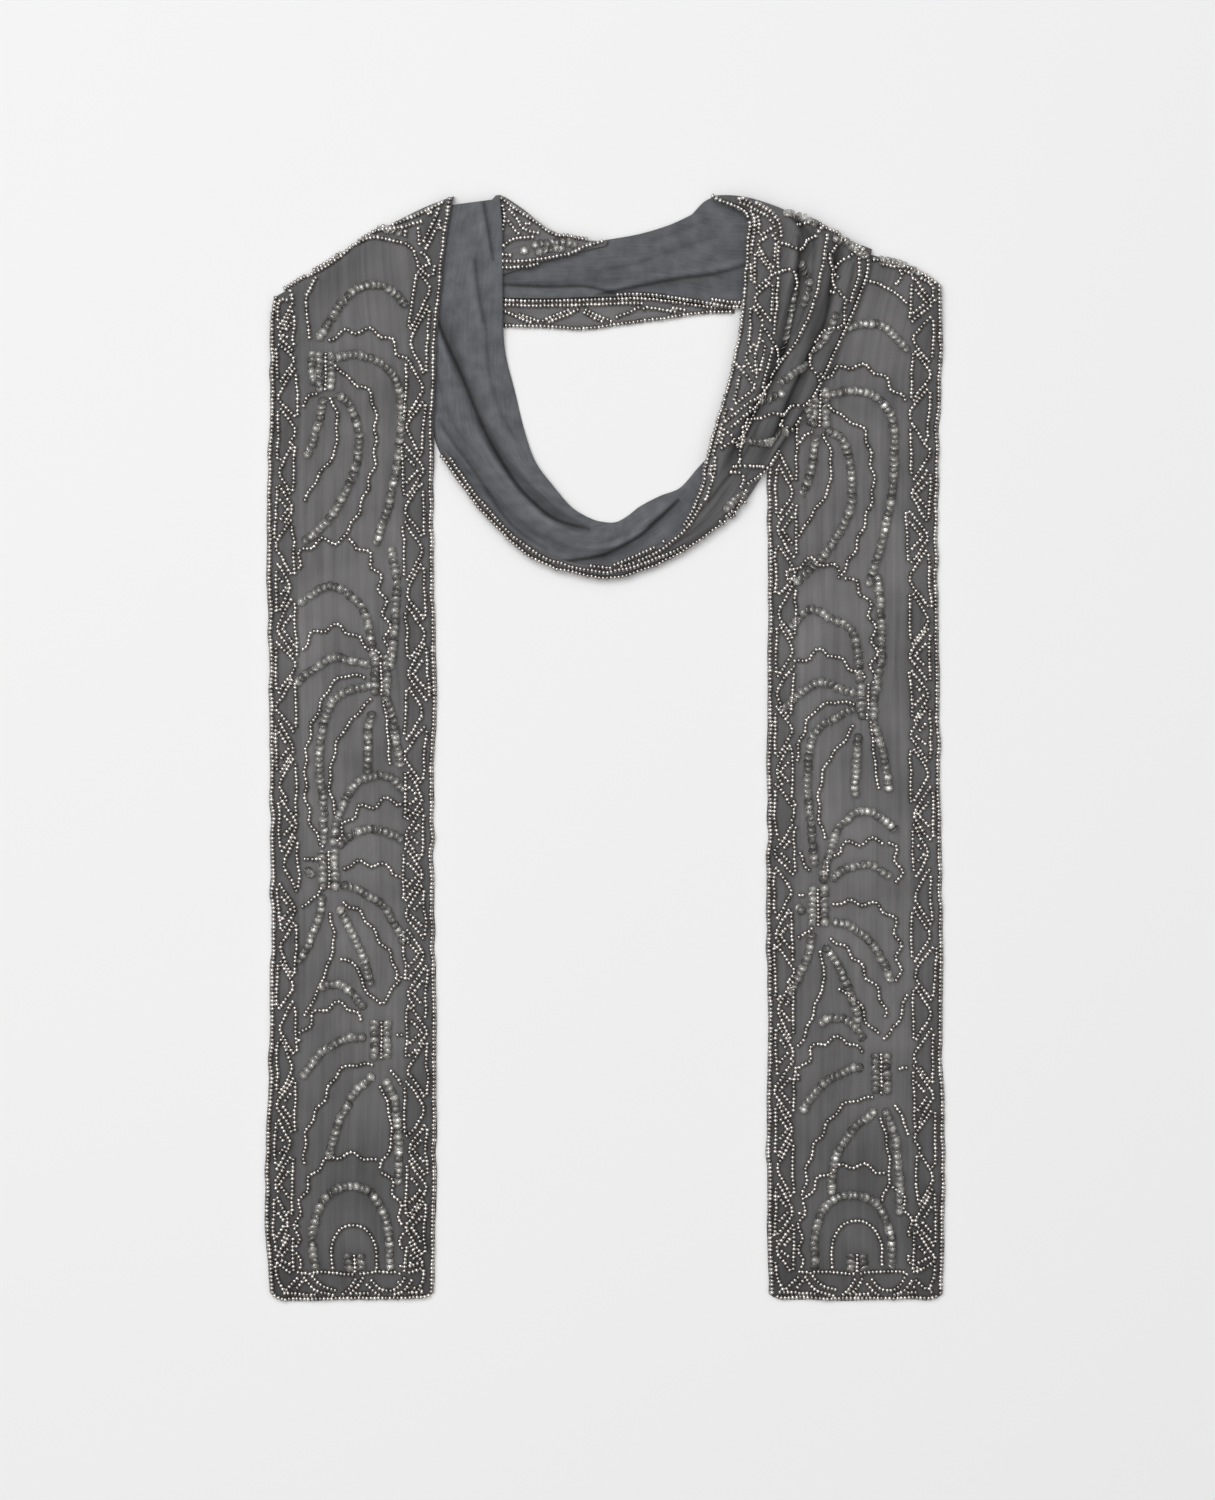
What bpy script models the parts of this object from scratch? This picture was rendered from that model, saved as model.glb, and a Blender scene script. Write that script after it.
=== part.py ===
"""A gauze scarf, 90 mm wide, laid flat with a loop at the neck and two tails.

Units are metres in Blender; every size below is in millimetres. +Y runs up the tails to the neck and +Z is up
from the surface that the scarf lies on. Each stretch of the strip that shows is one shell: a sheet carried
between two edges, creased by a short table of folds, then given the cloth's wall by Solidify.
"""
import bmesh
import bpy
import numpy as np

MM = 0.001
WALL = 1.2           # cloth wall of every stretch
FLOOR = WALL         # height of the upper side of cloth that lies on the surface
HEM_Y = -298.5       # lower end of both tails
ROLL_LENGTH = 0.28   # how much of the last section a rolled end takes
BOW_LENGTH = 2.2     # how many sections a bowed end reaches back

# Section tables. A row is one section across a stretch, from its outer edge to its inner edge:
# outer x, outer y, outer z, inner x, inner y, inner z, crown.
# The z values are the cloth's upper side at the edges and crown is how far it bulges between them.
LEFT_TAIL = [
    (-181.0, HEM_Y, 1.2, -92.5, HEM_Y + 0.5, 1.2, 0.0),
    (-183.5, -252.0, 1.2, -91.5, -252.0, 1.2, 0.0),
    (-181.5, -163.0, 1.2, -91.0, -163.0, 1.2, 0.0),
    (-180.5, -98.5, 1.2, -92.0, -98.5, 1.2, 0.0),
    (-181.0, -28.0, 1.2, -92.5, -28.0, 1.2, 0.0),
    (-181.5, 31.5, 1.2, -91.0, 31.5, 1.2, 0.0),
    (-182.5, 95.0, 1.2, -92.5, 95.0, 1.2, 0.0),
    (-182.0, 145.0, 1.2, -92.5, 148.0, 1.2, 0.0),
    (-181.0, 187.0, 1.3, -91.5, 196.0, 2.4, 0.0),
    (-181.0, 212.0, 2.0, -89.0, 238.0, 4.6, 0.3),
    (-180.5, 229.0, 2.4, -85.5, 271.0, 5.0, 0.6),
    (-179.0, 243.0, 2.4, -82.0, 297.5, 5.0, 0.6),
]
RIGHT_TAIL = [
    (88.5, HEM_Y + 0.5, 1.2, 182.5, HEM_Y + 0.5, 1.2, 0.0),
    (87.5, -252.0, 1.2, 183.0, -252.0, 1.2, 0.0),
    (87.0, -206.5, 1.2, 183.5, -206.5, 1.2, 0.0),
    (88.0, -157.5, 1.2, 182.0, -157.5, 1.2, 0.0),
    (87.0, -98.5, 1.2, 182.5, -98.5, 1.2, 0.0),
    (87.5, -39.0, 1.2, 181.5, -39.0, 1.2, 0.0),
    (87.5, 26.0, 1.2, 180.5, 26.0, 1.2, 0.0),
    (88.0, 80.0, 1.2, 180.0, 80.0, 1.2, 0.0),
    (87.5, 128.5, 1.2, 180.0, 128.5, 1.2, 0.0),
    (87.5, 166.5, 1.2, 180.5, 166.5, 1.2, 0.0),
    (89.0, 204.0, 1.2, 181.5, 201.0, 1.4, 0.0),
    (95.0, 240.0, 1.4, 182.0, 226.0, 2.4, 0.3),
    (105.0, 276.0, 1.6, 181.5, 250.0, 3.2, 0.4),
]
LOOP_REVERSE = [
    (-85.0, 292.5, 4.6, -56.5, 296.0, 6.2, 1.2),
    (-88.5, 274.5, 4.4, -55.0, 274.5, 6.7, 1.4),
    (-93.5, 242.0, 4.6, -55.0, 242.0, 6.0, 1.4),
    (-95.5, 215.0, 2.6, -54.0, 215.0, 2.6, 2.0),
    (-95.5, 190.5, 1.2, -48.5, 192.0, 1.4, 2.4),
    (-92.5, 169.0, 1.2, -43.5, 171.5, 1.4, 2.4),
    (-86.0, 153.5, 1.2, -37.5, 154.5, 1.4, 2.4),
    (-74.0, 136.5, 1.2, -28.0, 141.5, 1.4, 2.4),
    (-60.0, 120.5, 1.2, -18.0, 130.0, 1.4, 2.2),
    (-43.5, 106.5, 1.2, -8.0, 124.0, 1.4, 2.0),
    (-24.5, 96.0, 1.2, -0.5, 122.0, 1.4, 1.6),
    (-2.5, 92.0, 1.2, 6.0, 122.0, 1.4, 1.4),
    (16.5, 95.0, 1.2, 12.5, 125.5, 1.4, 1.4),
    (32.0, 101.0, 1.2, 19.0, 130.5, 1.4, 1.4),
    (45.0, 109.5, 1.2, 29.5, 136.0, 1.4, 1.2),
    (54.5, 120.5, 1.2, 40.5, 140.5, 1.4, 1.0),
    (63.0, 134.0, 1.2, 49.5, 150.5, 1.4, 0.6),
    (69.0, 146.0, 1.2, 55.0, 156.5, 1.3, 0.4),
]
LOOP_FACE = [
    (144.0, 269.0, 5.0, 57.5, 297.5, 5.8, 2.4),
    (142.0, 259.0, 4.5, 76.5, 288.5, 6.0, 3.8),
    (137.5, 246.0, 4.0, 76.0, 269.0, 6.0, 4.4),
    (131.0, 230.0, 3.6, 75.0, 246.0, 5.6, 4.8),
    (123.0, 213.0, 3.2, 72.0, 220.5, 4.2, 5.2),
    (115.0, 195.5, 3.2, 66.5, 195.5, 3.4, 5.4),
    (104.0, 177.0, 3.2, 60.5, 175.0, 3.4, 5.2),
    (93.5, 161.0, 3.2, 55.5, 157.5, 3.6, 4.8),
    (85.0, 147.0, 3.2, 52.5, 142.5, 4.2, 4.2),
    (74.0, 131.0, 2.6, 47.0, 128.5, 4.6, 3.6),
    (60.0, 119.0, 2.7, 39.0, 116.5, 4.6, 3.0),
    (43.0, 107.0, 2.8, 28.5, 109.5, 4.6, 2.2),
    (24.5, 97.5, 3.0, 15.5, 104.0, 4.9, 1.5),
    (4.0, 91.5, 3.2, 2.5, 99.5, 4.8, 1.3),
    (-19.0, 94.5, 3.2, -17.5, 100.0, 4.8, 1.2),
    (-41.5, 103.5, 3.2, -39.0, 108.5, 4.9, 1.0),
    (-63.0, 123.5, 3.2, -60.5, 127.5, 4.8, 0.9),
    (-79.5, 144.5, 3.1, -76.5, 148.0, 4.6, 0.8),
    (-88.5, 157.5, 3.1, -86.5, 161.0, 4.6, 0.6),
]
NECK_REVERSE = [
    (-63.0, 243.5, 2.8, -63.0, 262.5, 2.8, 0.0),
    (-55.0, 243.0, 2.8, -55.0, 262.5, 2.8, 0.2),
    (-35.0, 242.5, 2.8, -35.0, 269.0, 2.8, 0.6),
    (-13.5, 243.0, 2.8, -13.5, 272.5, 2.8, 1.0),
    (2.5, 243.5, 2.8, 2.5, 274.5, 2.4, 1.2),
    (19.0, 244.0, 2.8, 19.0, 277.5, 2.2, 1.2),
    (35.0, 242.5, 2.8, 34.0, 282.0, 2.0, 1.2),
    (51.5, 240.0, 2.8, 46.0, 287.5, 1.8, 1.2),
    (65.0, 237.5, 2.8, 54.5, 292.5, 1.8, 1.0),
    (75.5, 237.0, 2.6, 65.0, 292.0, 1.8, 0.6),
    (86.0, 237.0, 2.4, 81.5, 287.0, 1.8, 0.2),
]
NECK_BORDER = [
    (-63.0, 227.5, 1.2, -63.0, 246.0, 1.2, 0.0),
    (-55.0, 227.0, 1.2, -55.0, 247.0, 1.2, 0.0),
    (-32.5, 226.5, 1.2, -32.5, 248.5, 1.2, 0.0),
    (-11.0, 225.5, 1.2, -11.0, 249.0, 1.2, 0.0),
    (8.0, 228.0, 1.2, 8.0, 249.0, 1.2, 0.0),
    (31.5, 231.0, 1.2, 29.5, 247.5, 1.2, 0.0),
    (51.5, 234.0, 1.2, 48.5, 246.0, 1.2, 0.0),
    (70.0, 234.5, 1.2, 70.0, 243.0, 1.2, 0.0),
]
NECK_FOLD = [
    (-63.0, 254.0, 4.8, -62.0, 294.5, 2.4, 0.4),
    (-56.0, 255.0, 4.8, -57.0, 298.5, 2.4, 0.6),
    (-46.0, 258.0, 4.8, -44.5, 291.0, 2.4, 1.4),
    (-34.5, 261.5, 4.8, -31.0, 280.5, 2.4, 2.0),
    (-23.0, 265.0, 4.8, -16.5, 275.0, 3.0, 2.0),
    (-11.0, 268.0, 4.8, -7.0, 273.5, 4.2, 1.2),
    (0.5, 270.5, 4.8, 1.5, 274.0, 4.4, 0.6),
]
# outer x, outer y, inner x, inner y and thickness of the solid that the hidden layers share
HIDDEN_LAYERS = [
    (-170.0, 231.0, -169.0, 238.0, 0.8),
    (-150.0, 226.0, -150.0, 248.0, 1.6),
    (-120.0, 227.0, -120.0, 264.0, 2.4),
    (-95.0, 231.0, -95.0, 276.0, 2.6),
    (-80.0, 232.0, -80.0, 284.0, 2.6),
    (-65.0, 234.0, -65.0, 288.0, 2.4),
]

# Fold tables. A row is one crease, or one ridge where the height is above nought:
# first section, last section, place across at its start, middle and end, half width, height.
LEFT_TAIL_FOLDS = [
    (6.4, 15.0, 1.02, 1.02, 1.02, 18.0, 3.3),
    (8.2, 11.6, 0.62, 0.55, 0.45, 14.0, 0.7),
]
RIGHT_TAIL_FOLDS = [
    (10.0, 13.6, 0.95, 0.84, 0.74, 10.0, 0.9),
]
LOOP_REVERSE_FOLDS = [
    (1.8, 10.4, 0.12, 0.655, 0.76, 5.0, -2.2),
    (0.6, 9.6, 0.36, 0.90, 0.92, 8.0, 1.6),
    (3.4, 9.8, 0.10, 0.46, 0.52, 8.0, 1.4),
    (4.6, 12.0, 0.02, 0.30, 0.40, 4.5, -1.5),
    (7.0, 14.4, 0.14, 0.10, 0.24, 5.0, 1.0),
    (10.0, 15.6, 0.44, 0.50, 0.84, 4.5, -1.3),
    (9.4, 13.2, 0.78, 0.72, 0.66, 5.0, 0.8),
    (-1.0, 3.4, 0.80, 0.78, 0.70, 6.0, 0.8),
]
LOOP_FACE_FOLDS = [
    (-1.0, 8.6, 0.53, 0.54, 0.68, 5.5, -3.6),
    (-0.4, 8.2, 0.24, 0.23, 0.10, 5.0, -3.0),
    (-1.0, 8.8, 0.39, 0.38, 0.38, 6.5, 2.2),
    (-1.0, 9.4, 0.77, 0.80, 0.86, 9.0, 1.6),
    (0.4, 8.0, 0.08, 0.09, 0.02, 5.0, 1.0),
    (7.6, 12.6, 0.50, 0.52, 0.60, 3.5, -0.8),
]
NECK_REVERSE_FOLDS = [
    (1.0, 8.4, 0.30, 0.24, 0.16, 4.0, -0.9),
    (2.0, 9.8, 0.50, 0.44, 0.34, 7.0, 1.2),
    (3.0, 9.8, 0.80, 0.76, 0.66, 6.0, 0.8),
]
NECK_FOLD_FOLDS = [
    (0.0, 4.6, 0.45, 0.50, 0.55, 5.0, -0.7),
]


def along(rows, sections):
    """A table read at in-between sections, by a Catmull-Rom curve through each column."""
    table = np.array(rows, float)
    table = np.vstack([2 * table[0] - table[1], table, 2 * table[-1] - table[-2]])
    s = np.clip(np.asarray(sections, float), 0.0, len(rows) - 1)
    k = np.minimum(s.astype(int), len(rows) - 2)
    t = (s - k)[..., None]
    a, b, c, d = (table[k + i] for i in range(4))
    return 0.5 * (2 * b + (c - a) * t + (2 * a - 5 * b + 4 * c - d) * t ** 2 + (3 * b - a - 3 * c + d) * t ** 3)


def crease(folds, section, across, width):
    """The height that the folds add: each is height * cos^2 across its half width, faded in and out at its ends."""
    total = np.zeros_like(across)
    for first, last, start, middle, end, half_width, height in folds:
        t = (section - first) / (last - first)
        line = start * (1 - t) * (1 - 2 * t) + middle * 4 * t * (1 - t) + end * t * (2 * t - 1)
        off = np.clip(np.abs(across - line) * width / half_width, 0, 1)
        fade = np.clip(np.minimum(t, 1 - t) / 0.18, 0, 1)
        total += height * np.cos(off * np.pi / 2) ** 2 * fade * fade * (3 - 2 * fade)
    return total


def sheet_point(rows, folds, rolls, bows, section, across):
    """A point of a stretch's upper side, in mm: edge + (edge - edge) * across, raised by the crown and the folds.
    The last millimetres before a rolled end come down as a quarter ellipse, by a share of their height.
    A bowed end is pushed out to +Y by bow * 4u(1 - u), which fades as a square over BOW_LENGTH sections."""
    row = along(rows, section)
    outer, inner, crown = row[..., 0:3], row[..., 3:6], row[..., 6]
    u = across[..., None]
    point = outer * (1 - u) + inner * u
    width = np.linalg.norm(inner[..., :2] - outer[..., :2], axis=-1)
    bulge = np.maximum(1 - np.abs(2 * across - 1) ** 2.6, 0) ** (1 / 2.6)
    point[..., 2] += crown * bulge + crease(folds, section, across, width)
    last = len(rows) - 1
    for share, bow, near in zip(rolls, bows, (section, last - section)):
        point[..., 1] += bow * 4 * across * (1 - across) * np.clip(1 - near / BOW_LENGTH, 0, 1) ** 2
        step = np.clip(1 - near / ROLL_LENGTH, 0, 1)
        point[..., 2] -= share * (point[..., 2] - FLOOR) * (1 - np.sqrt(1 - step ** 2))
    point[..., 2] = np.maximum(point[..., 2], FLOOR)
    return point


def stations(rows, count, rolled):
    """Section numbers of the mesh's rows: even steps along the middle of the stretch, closer where an end is rolled."""
    fine = np.linspace(0, len(rows) - 1, 600)
    table = along(rows, fine)
    middle = (table[:, 0:2] + table[:, 3:5]) / 2
    run = np.concatenate([[0], np.cumsum(np.linalg.norm(np.diff(middle, axis=0), axis=1))])
    even = np.interp(np.linspace(0, run[-1], count), run, fine)
    extra = np.array([0.02, 0.06, 0.14, 0.26])
    last = len(rows) - 1
    if rolled[0]:
        even = np.concatenate([[0], extra, even[even > 0.34]])
    if rolled[1]:
        even = np.concatenate([even[even < last - 0.34], last - extra[::-1], [last]])
    return even


def material(name, colour, roughness):
    made = bpy.data.materials.new(name)
    made.use_nodes = True
    shader = made.node_tree.nodes["Principled BSDF"]
    shader.inputs["Base Color"].default_value = (*colour, 1.0)
    shader.inputs["Roughness"].default_value = roughness
    return made


def node(name, mesh, cloth, wall):
    """The named object of one stretch, with its wall put on the under side."""
    made = bpy.data.objects.new(name, mesh)
    scarf.objects.link(made)
    mesh.materials.append(cloth)
    if wall:
        shell = made.modifiers.new("cloth wall", "SOLIDIFY")
        shell.thickness = wall * MM
        shell.offset = -1.0
        shell.use_even_offset = False
        shell.use_quality_normals = True
    return made


def stretch(name, rows, folds, cloth, count, columns, rolls=(0.0, 0.0), bows=(0.0, 0.0)):
    """One stretch of the strip: a grid laid over the sheet's two parameters, then moved onto the sheet."""
    sections = stations(rows, count, (rolls[0] > 0, rolls[1] > 0))
    across = np.linspace(0, 1, columns)
    work = bmesh.new()
    bmesh.ops.create_grid(work, x_segments=columns - 1, y_segments=len(sections) - 1, size=0.5)
    work.verts.ensure_lookup_table()
    flat = np.array([vertex.co[:] for vertex in work.verts])
    u = across[np.rint((flat[:, 0] + 0.5) * (columns - 1)).astype(int)]
    s = sections[np.rint((flat[:, 1] + 0.5) * (len(sections) - 1)).astype(int)]
    placed = sheet_point(rows, folds, rolls, bows, s, u) * MM
    for vertex, place in zip(work.verts, placed):
        vertex.co = place
    bmesh.ops.recalc_face_normals(work, faces=work.faces)
    if sum(face.normal.z for face in work.faces) < 0:
        bmesh.ops.reverse_faces(work, faces=work.faces)
    mesh = bpy.data.meshes.new(name)
    work.to_mesh(mesh)
    work.free()
    return node(name, mesh, cloth, WALL)


def layered_slab(name, rows, cloth, count):
    """The hidden layers as one solid. Each ring is a section: flat below, rounded above, grooved between two layers."""
    sections = np.linspace(0, len(rows) - 1, count)
    table = along(rows, sections)
    # place across, share of the height, and how far the edge stands in, all of one half ring
    rim = np.array([(1.0, 0.0, 1.0), (1.0, 0.25, 0.0), (1.0, 0.5, 1.0), (1.0, 0.72, 0.4), (1.0, 0.92, 2.2), (0.88, 1.0, 3.0)])
    half = np.column_stack([rim[:, 0], rim[:, 1], rim[:, 2]])
    back = np.column_stack([1 - half[::-1, 0], half[::-1, 1], -half[::-1, 2]])
    ring = np.vstack([half, back])
    work = bmesh.new()
    loops = []
    for outer_x, outer_y, inner_x, inner_y, thickness in table:
        outer = np.array([outer_x, outer_y])
        inner = np.array([inner_x, inner_y])
        way = (inner - outer) / np.linalg.norm(inner - outer)
        plan = outer + (inner - outer) * ring[:, :1] - way * ring[:, 2:3]
        loops.append([work.verts.new((x * MM, y * MM, z * thickness * MM)) for (x, y), z in zip(plan, ring[:, 1])])
    size = len(ring)
    for near, far in zip(loops[:-1], loops[1:]):
        for k in range(size):
            work.faces.new((near[k], near[(k + 1) % size], far[(k + 1) % size], far[k]))
    work.faces.new(loops[0][::-1])
    work.faces.new(loops[-1])
    bmesh.ops.recalc_face_normals(work, faces=work.faces)
    mesh = bpy.data.meshes.new(name)
    work.to_mesh(mesh)
    work.free()
    return node(name, mesh, cloth, 0.0)


for old in list(bpy.data.objects):
    bpy.data.objects.remove(old, do_unlink=True)
scarf = bpy.data.collections.new("gauze_scarf")
bpy.context.scene.collection.children.link(scarf)

face_left = material("left_tail_gauze", (0.15, 0.145, 0.145), 0.75)
face_right = material("right_tail_gauze", (0.155, 0.15, 0.148), 0.75)
reverse_loop = material("loop_reverse_gauze", (0.115, 0.118, 0.127), 0.85)
face_loop = material("loop_face_gauze", (0.085, 0.08, 0.08), 0.7)
reverse_neck = material("neck_reverse_gauze", (0.115, 0.118, 0.127), 0.85)
border = material("neck_border_gauze", (0.14, 0.135, 0.132), 0.7)
fold = material("neck_fold_gauze", (0.13, 0.125, 0.122), 0.7)
under = material("hidden_layers_gauze", (0.11, 0.11, 0.115), 0.85)

stretch("left_tail", LEFT_TAIL, LEFT_TAIL_FOLDS, face_left, 34, 11, rolls=(0.0, 1.0), bows=(0.0, 4.0))
stretch("right_tail", RIGHT_TAIL, RIGHT_TAIL_FOLDS, face_right, 32, 9, rolls=(0.0, 1.0), bows=(0.0, 4.0))
stretch("loop_reverse", LOOP_REVERSE, LOOP_REVERSE_FOLDS, reverse_loop, 44, 15, rolls=(0.3, 0.0))
stretch("loop_face", LOOP_FACE, LOOP_FACE_FOLDS, face_loop, 48, 17, rolls=(0.3, 0.0), bows=(6.0, 0.0))
stretch("neck_reverse", NECK_REVERSE, NECK_REVERSE_FOLDS, reverse_neck, 18, 11)
stretch("neck_border", NECK_BORDER, [], border, 14, 4)
stretch("neck_fold", NECK_FOLD, NECK_FOLD_FOLDS, fold, 12, 9)
layered_slab("hidden_layers", HIDDEN_LAYERS, under, 12)
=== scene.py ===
import bpy
import numpy as np
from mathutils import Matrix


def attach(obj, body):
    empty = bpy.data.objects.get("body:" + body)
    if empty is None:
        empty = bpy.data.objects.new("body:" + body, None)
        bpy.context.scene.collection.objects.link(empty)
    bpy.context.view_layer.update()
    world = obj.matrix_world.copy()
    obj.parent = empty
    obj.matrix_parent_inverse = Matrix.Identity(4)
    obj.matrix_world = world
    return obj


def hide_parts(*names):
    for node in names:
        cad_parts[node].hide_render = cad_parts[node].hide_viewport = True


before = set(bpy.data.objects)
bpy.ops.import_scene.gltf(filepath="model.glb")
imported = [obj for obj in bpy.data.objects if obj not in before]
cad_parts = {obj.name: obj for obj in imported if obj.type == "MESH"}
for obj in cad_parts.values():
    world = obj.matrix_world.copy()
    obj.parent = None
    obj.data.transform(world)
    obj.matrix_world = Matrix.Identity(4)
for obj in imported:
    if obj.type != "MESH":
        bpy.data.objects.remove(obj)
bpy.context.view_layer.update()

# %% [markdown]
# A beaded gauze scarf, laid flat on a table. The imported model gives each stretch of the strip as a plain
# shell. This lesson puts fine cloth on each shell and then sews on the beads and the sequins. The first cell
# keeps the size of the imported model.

MM = 0.001

# %% [markdown]
# The photograph looks straight down on the scarf. A long lens far above the table keeps the tails parallel,
# as they are there. The lens and its height follow from the size of the view: 1500 pixels are 810 mm.

# %% Camera
PIXEL = 0.54 * MM
VIEW_HEIGHT = 1500 * PIXEL
AIM = (2.5 * PIXEL, -2.0 * PIXEL)     # the photograph's middle, from the scarf's
LENS, SENSOR = 0.100, 0.036
camera_data = bpy.data.cameras.new("overhead_camera")
camera_data.lens = LENS / MM
camera_data.sensor_width = SENSOR / MM
camera = bpy.data.objects.new("overhead_camera", camera_data)
camera.location = (*AIM, VIEW_HEIGHT * LENS / SENSOR)
bpy.context.scene.collection.objects.link(camera)
bpy.context.scene.camera = camera
print("camera height, m:", round(camera.location.z, 3))

# %% [markdown]
# Metal beads look like what they reflect. A wide soft light above gives each one a bright spot, and a
# dimmer sky low down leaves its sides dark, as in a photographer's studio. The table is plain and pale.

# %% Light and table
SOFTBOX_SIZE = 2.6
SOFTBOX_PLACE = (-0.75, 0.75, 2.9)
SOFTBOX_WATTS = 50.0
SKY_LOW, SKY_HIGH = 0.05, 0.77
SKY_CLIMB = (0.25, 0.85)     # it brightens between these heights: nought at the horizon, one straight up
bpy.context.scene.view_settings.view_transform = "Standard"

box_data = bpy.data.lights.new("softbox", "AREA")
box_data.shape = "DISK"
box_data.size = SOFTBOX_SIZE
box_data.energy = SOFTBOX_WATTS
softbox = bpy.data.objects.new("softbox", box_data)
softbox.location = SOFTBOX_PLACE
back = np.arctan2(-SOFTBOX_PLACE[1], SOFTBOX_PLACE[2])
sideways = np.arctan2(SOFTBOX_PLACE[0], SOFTBOX_PLACE[2])
softbox.rotation_euler = (back, sideways, 0)
bpy.context.scene.collection.objects.link(softbox)

sky = bpy.data.worlds.new("studio_sky")
bpy.context.scene.world = sky
sky.use_nodes = True
sky_nodes, sky_links = sky.node_tree.nodes, sky.node_tree.links
direction = sky_nodes.new("ShaderNodeTexCoord")
split = sky_nodes.new("ShaderNodeSeparateXYZ")
climb = sky_nodes.new("ShaderNodeMapRange")
climb.inputs["From Min"].default_value = SKY_CLIMB[0]
climb.inputs["From Max"].default_value = SKY_CLIMB[1]
climb.inputs["To Min"].default_value = SKY_LOW
climb.inputs["To Max"].default_value = SKY_HIGH
sky_links.new(direction.outputs["Generated"], split.inputs["Vector"])
sky_links.new(split.outputs["Z"], climb.inputs["Value"])
sky_links.new(climb.outputs["Result"], sky_nodes["Background"].inputs["Strength"])
sky_nodes["Background"].inputs["Color"].default_value = (1, 1, 1, 1)

TABLE_HALF = 4.0
TABLE_DROP = 0.0002     # the table lies this far below the scarf
TABLE_GREY = 0.91
table_mesh = bpy.data.meshes.new("table")
corners = np.array([(-1, -1), (1, -1), (1, 1), (-1, 1)]) * TABLE_HALF
table_mesh.from_pydata([(x, y, -TABLE_DROP) for x, y in corners], [], [(0, 1, 2, 3)])
table = bpy.data.objects.new("table", table_mesh)
bpy.context.scene.collection.objects.link(table)
table_paint = bpy.data.materials.new("table_paint")
table_paint.use_nodes = True
table_shader = table_paint.node_tree.nodes["Principled BSDF"]
table_shader.inputs["Base Color"].default_value = (TABLE_GREY, TABLE_GREY, TABLE_GREY, 1)
table_shader.inputs["Roughness"].default_value = 0.9
table_mesh.materials.append(table_paint)

# %% [markdown]
# The scarf is one strip. Each stretch of it is a sheet carried between two edges, given by a table with a
# row for each section, and creased by a table with a row for each fold. These are the tables of the packed
# solids, in millimetres, so the fine cloth follows them.

# %% Section tables
# outer x, outer y, outer z, inner x, inner y, inner z, crown
HEM_Y = -298.5
LEFT_TAIL = [
    (-181.0, HEM_Y, 1.2, -92.5, HEM_Y + 0.5, 1.2, 0.0),
    (-183.5, -252.0, 1.2, -91.5, -252.0, 1.2, 0.0),
    (-181.5, -163.0, 1.2, -91.0, -163.0, 1.2, 0.0),
    (-180.5, -98.5, 1.2, -92.0, -98.5, 1.2, 0.0),
    (-181.0, -28.0, 1.2, -92.5, -28.0, 1.2, 0.0),
    (-181.5, 31.5, 1.2, -91.0, 31.5, 1.2, 0.0),
    (-182.5, 95.0, 1.2, -92.5, 95.0, 1.2, 0.0),
    (-182.0, 145.0, 1.2, -92.5, 148.0, 1.2, 0.0),
    (-181.0, 187.0, 1.3, -91.5, 196.0, 2.4, 0.0),
    (-181.0, 212.0, 2.0, -89.0, 238.0, 4.6, 0.3),
    (-180.5, 229.0, 2.4, -85.5, 271.0, 5.0, 0.6),
    (-179.0, 243.0, 2.4, -82.0, 297.5, 5.0, 0.6),
]
RIGHT_TAIL = [
    (88.5, HEM_Y + 0.5, 1.2, 182.5, HEM_Y + 0.5, 1.2, 0.0),
    (87.5, -252.0, 1.2, 183.0, -252.0, 1.2, 0.0),
    (87.0, -206.5, 1.2, 183.5, -206.5, 1.2, 0.0),
    (88.0, -157.5, 1.2, 182.0, -157.5, 1.2, 0.0),
    (87.0, -98.5, 1.2, 182.5, -98.5, 1.2, 0.0),
    (87.5, -39.0, 1.2, 181.5, -39.0, 1.2, 0.0),
    (87.5, 26.0, 1.2, 180.5, 26.0, 1.2, 0.0),
    (88.0, 80.0, 1.2, 180.0, 80.0, 1.2, 0.0),
    (87.5, 128.5, 1.2, 180.0, 128.5, 1.2, 0.0),
    (87.5, 166.5, 1.2, 180.5, 166.5, 1.2, 0.0),
    (89.0, 204.0, 1.2, 181.5, 201.0, 1.4, 0.0),
    (95.0, 240.0, 1.4, 182.0, 226.0, 2.4, 0.3),
    (105.0, 276.0, 1.6, 181.5, 250.0, 3.2, 0.4),
]
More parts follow.
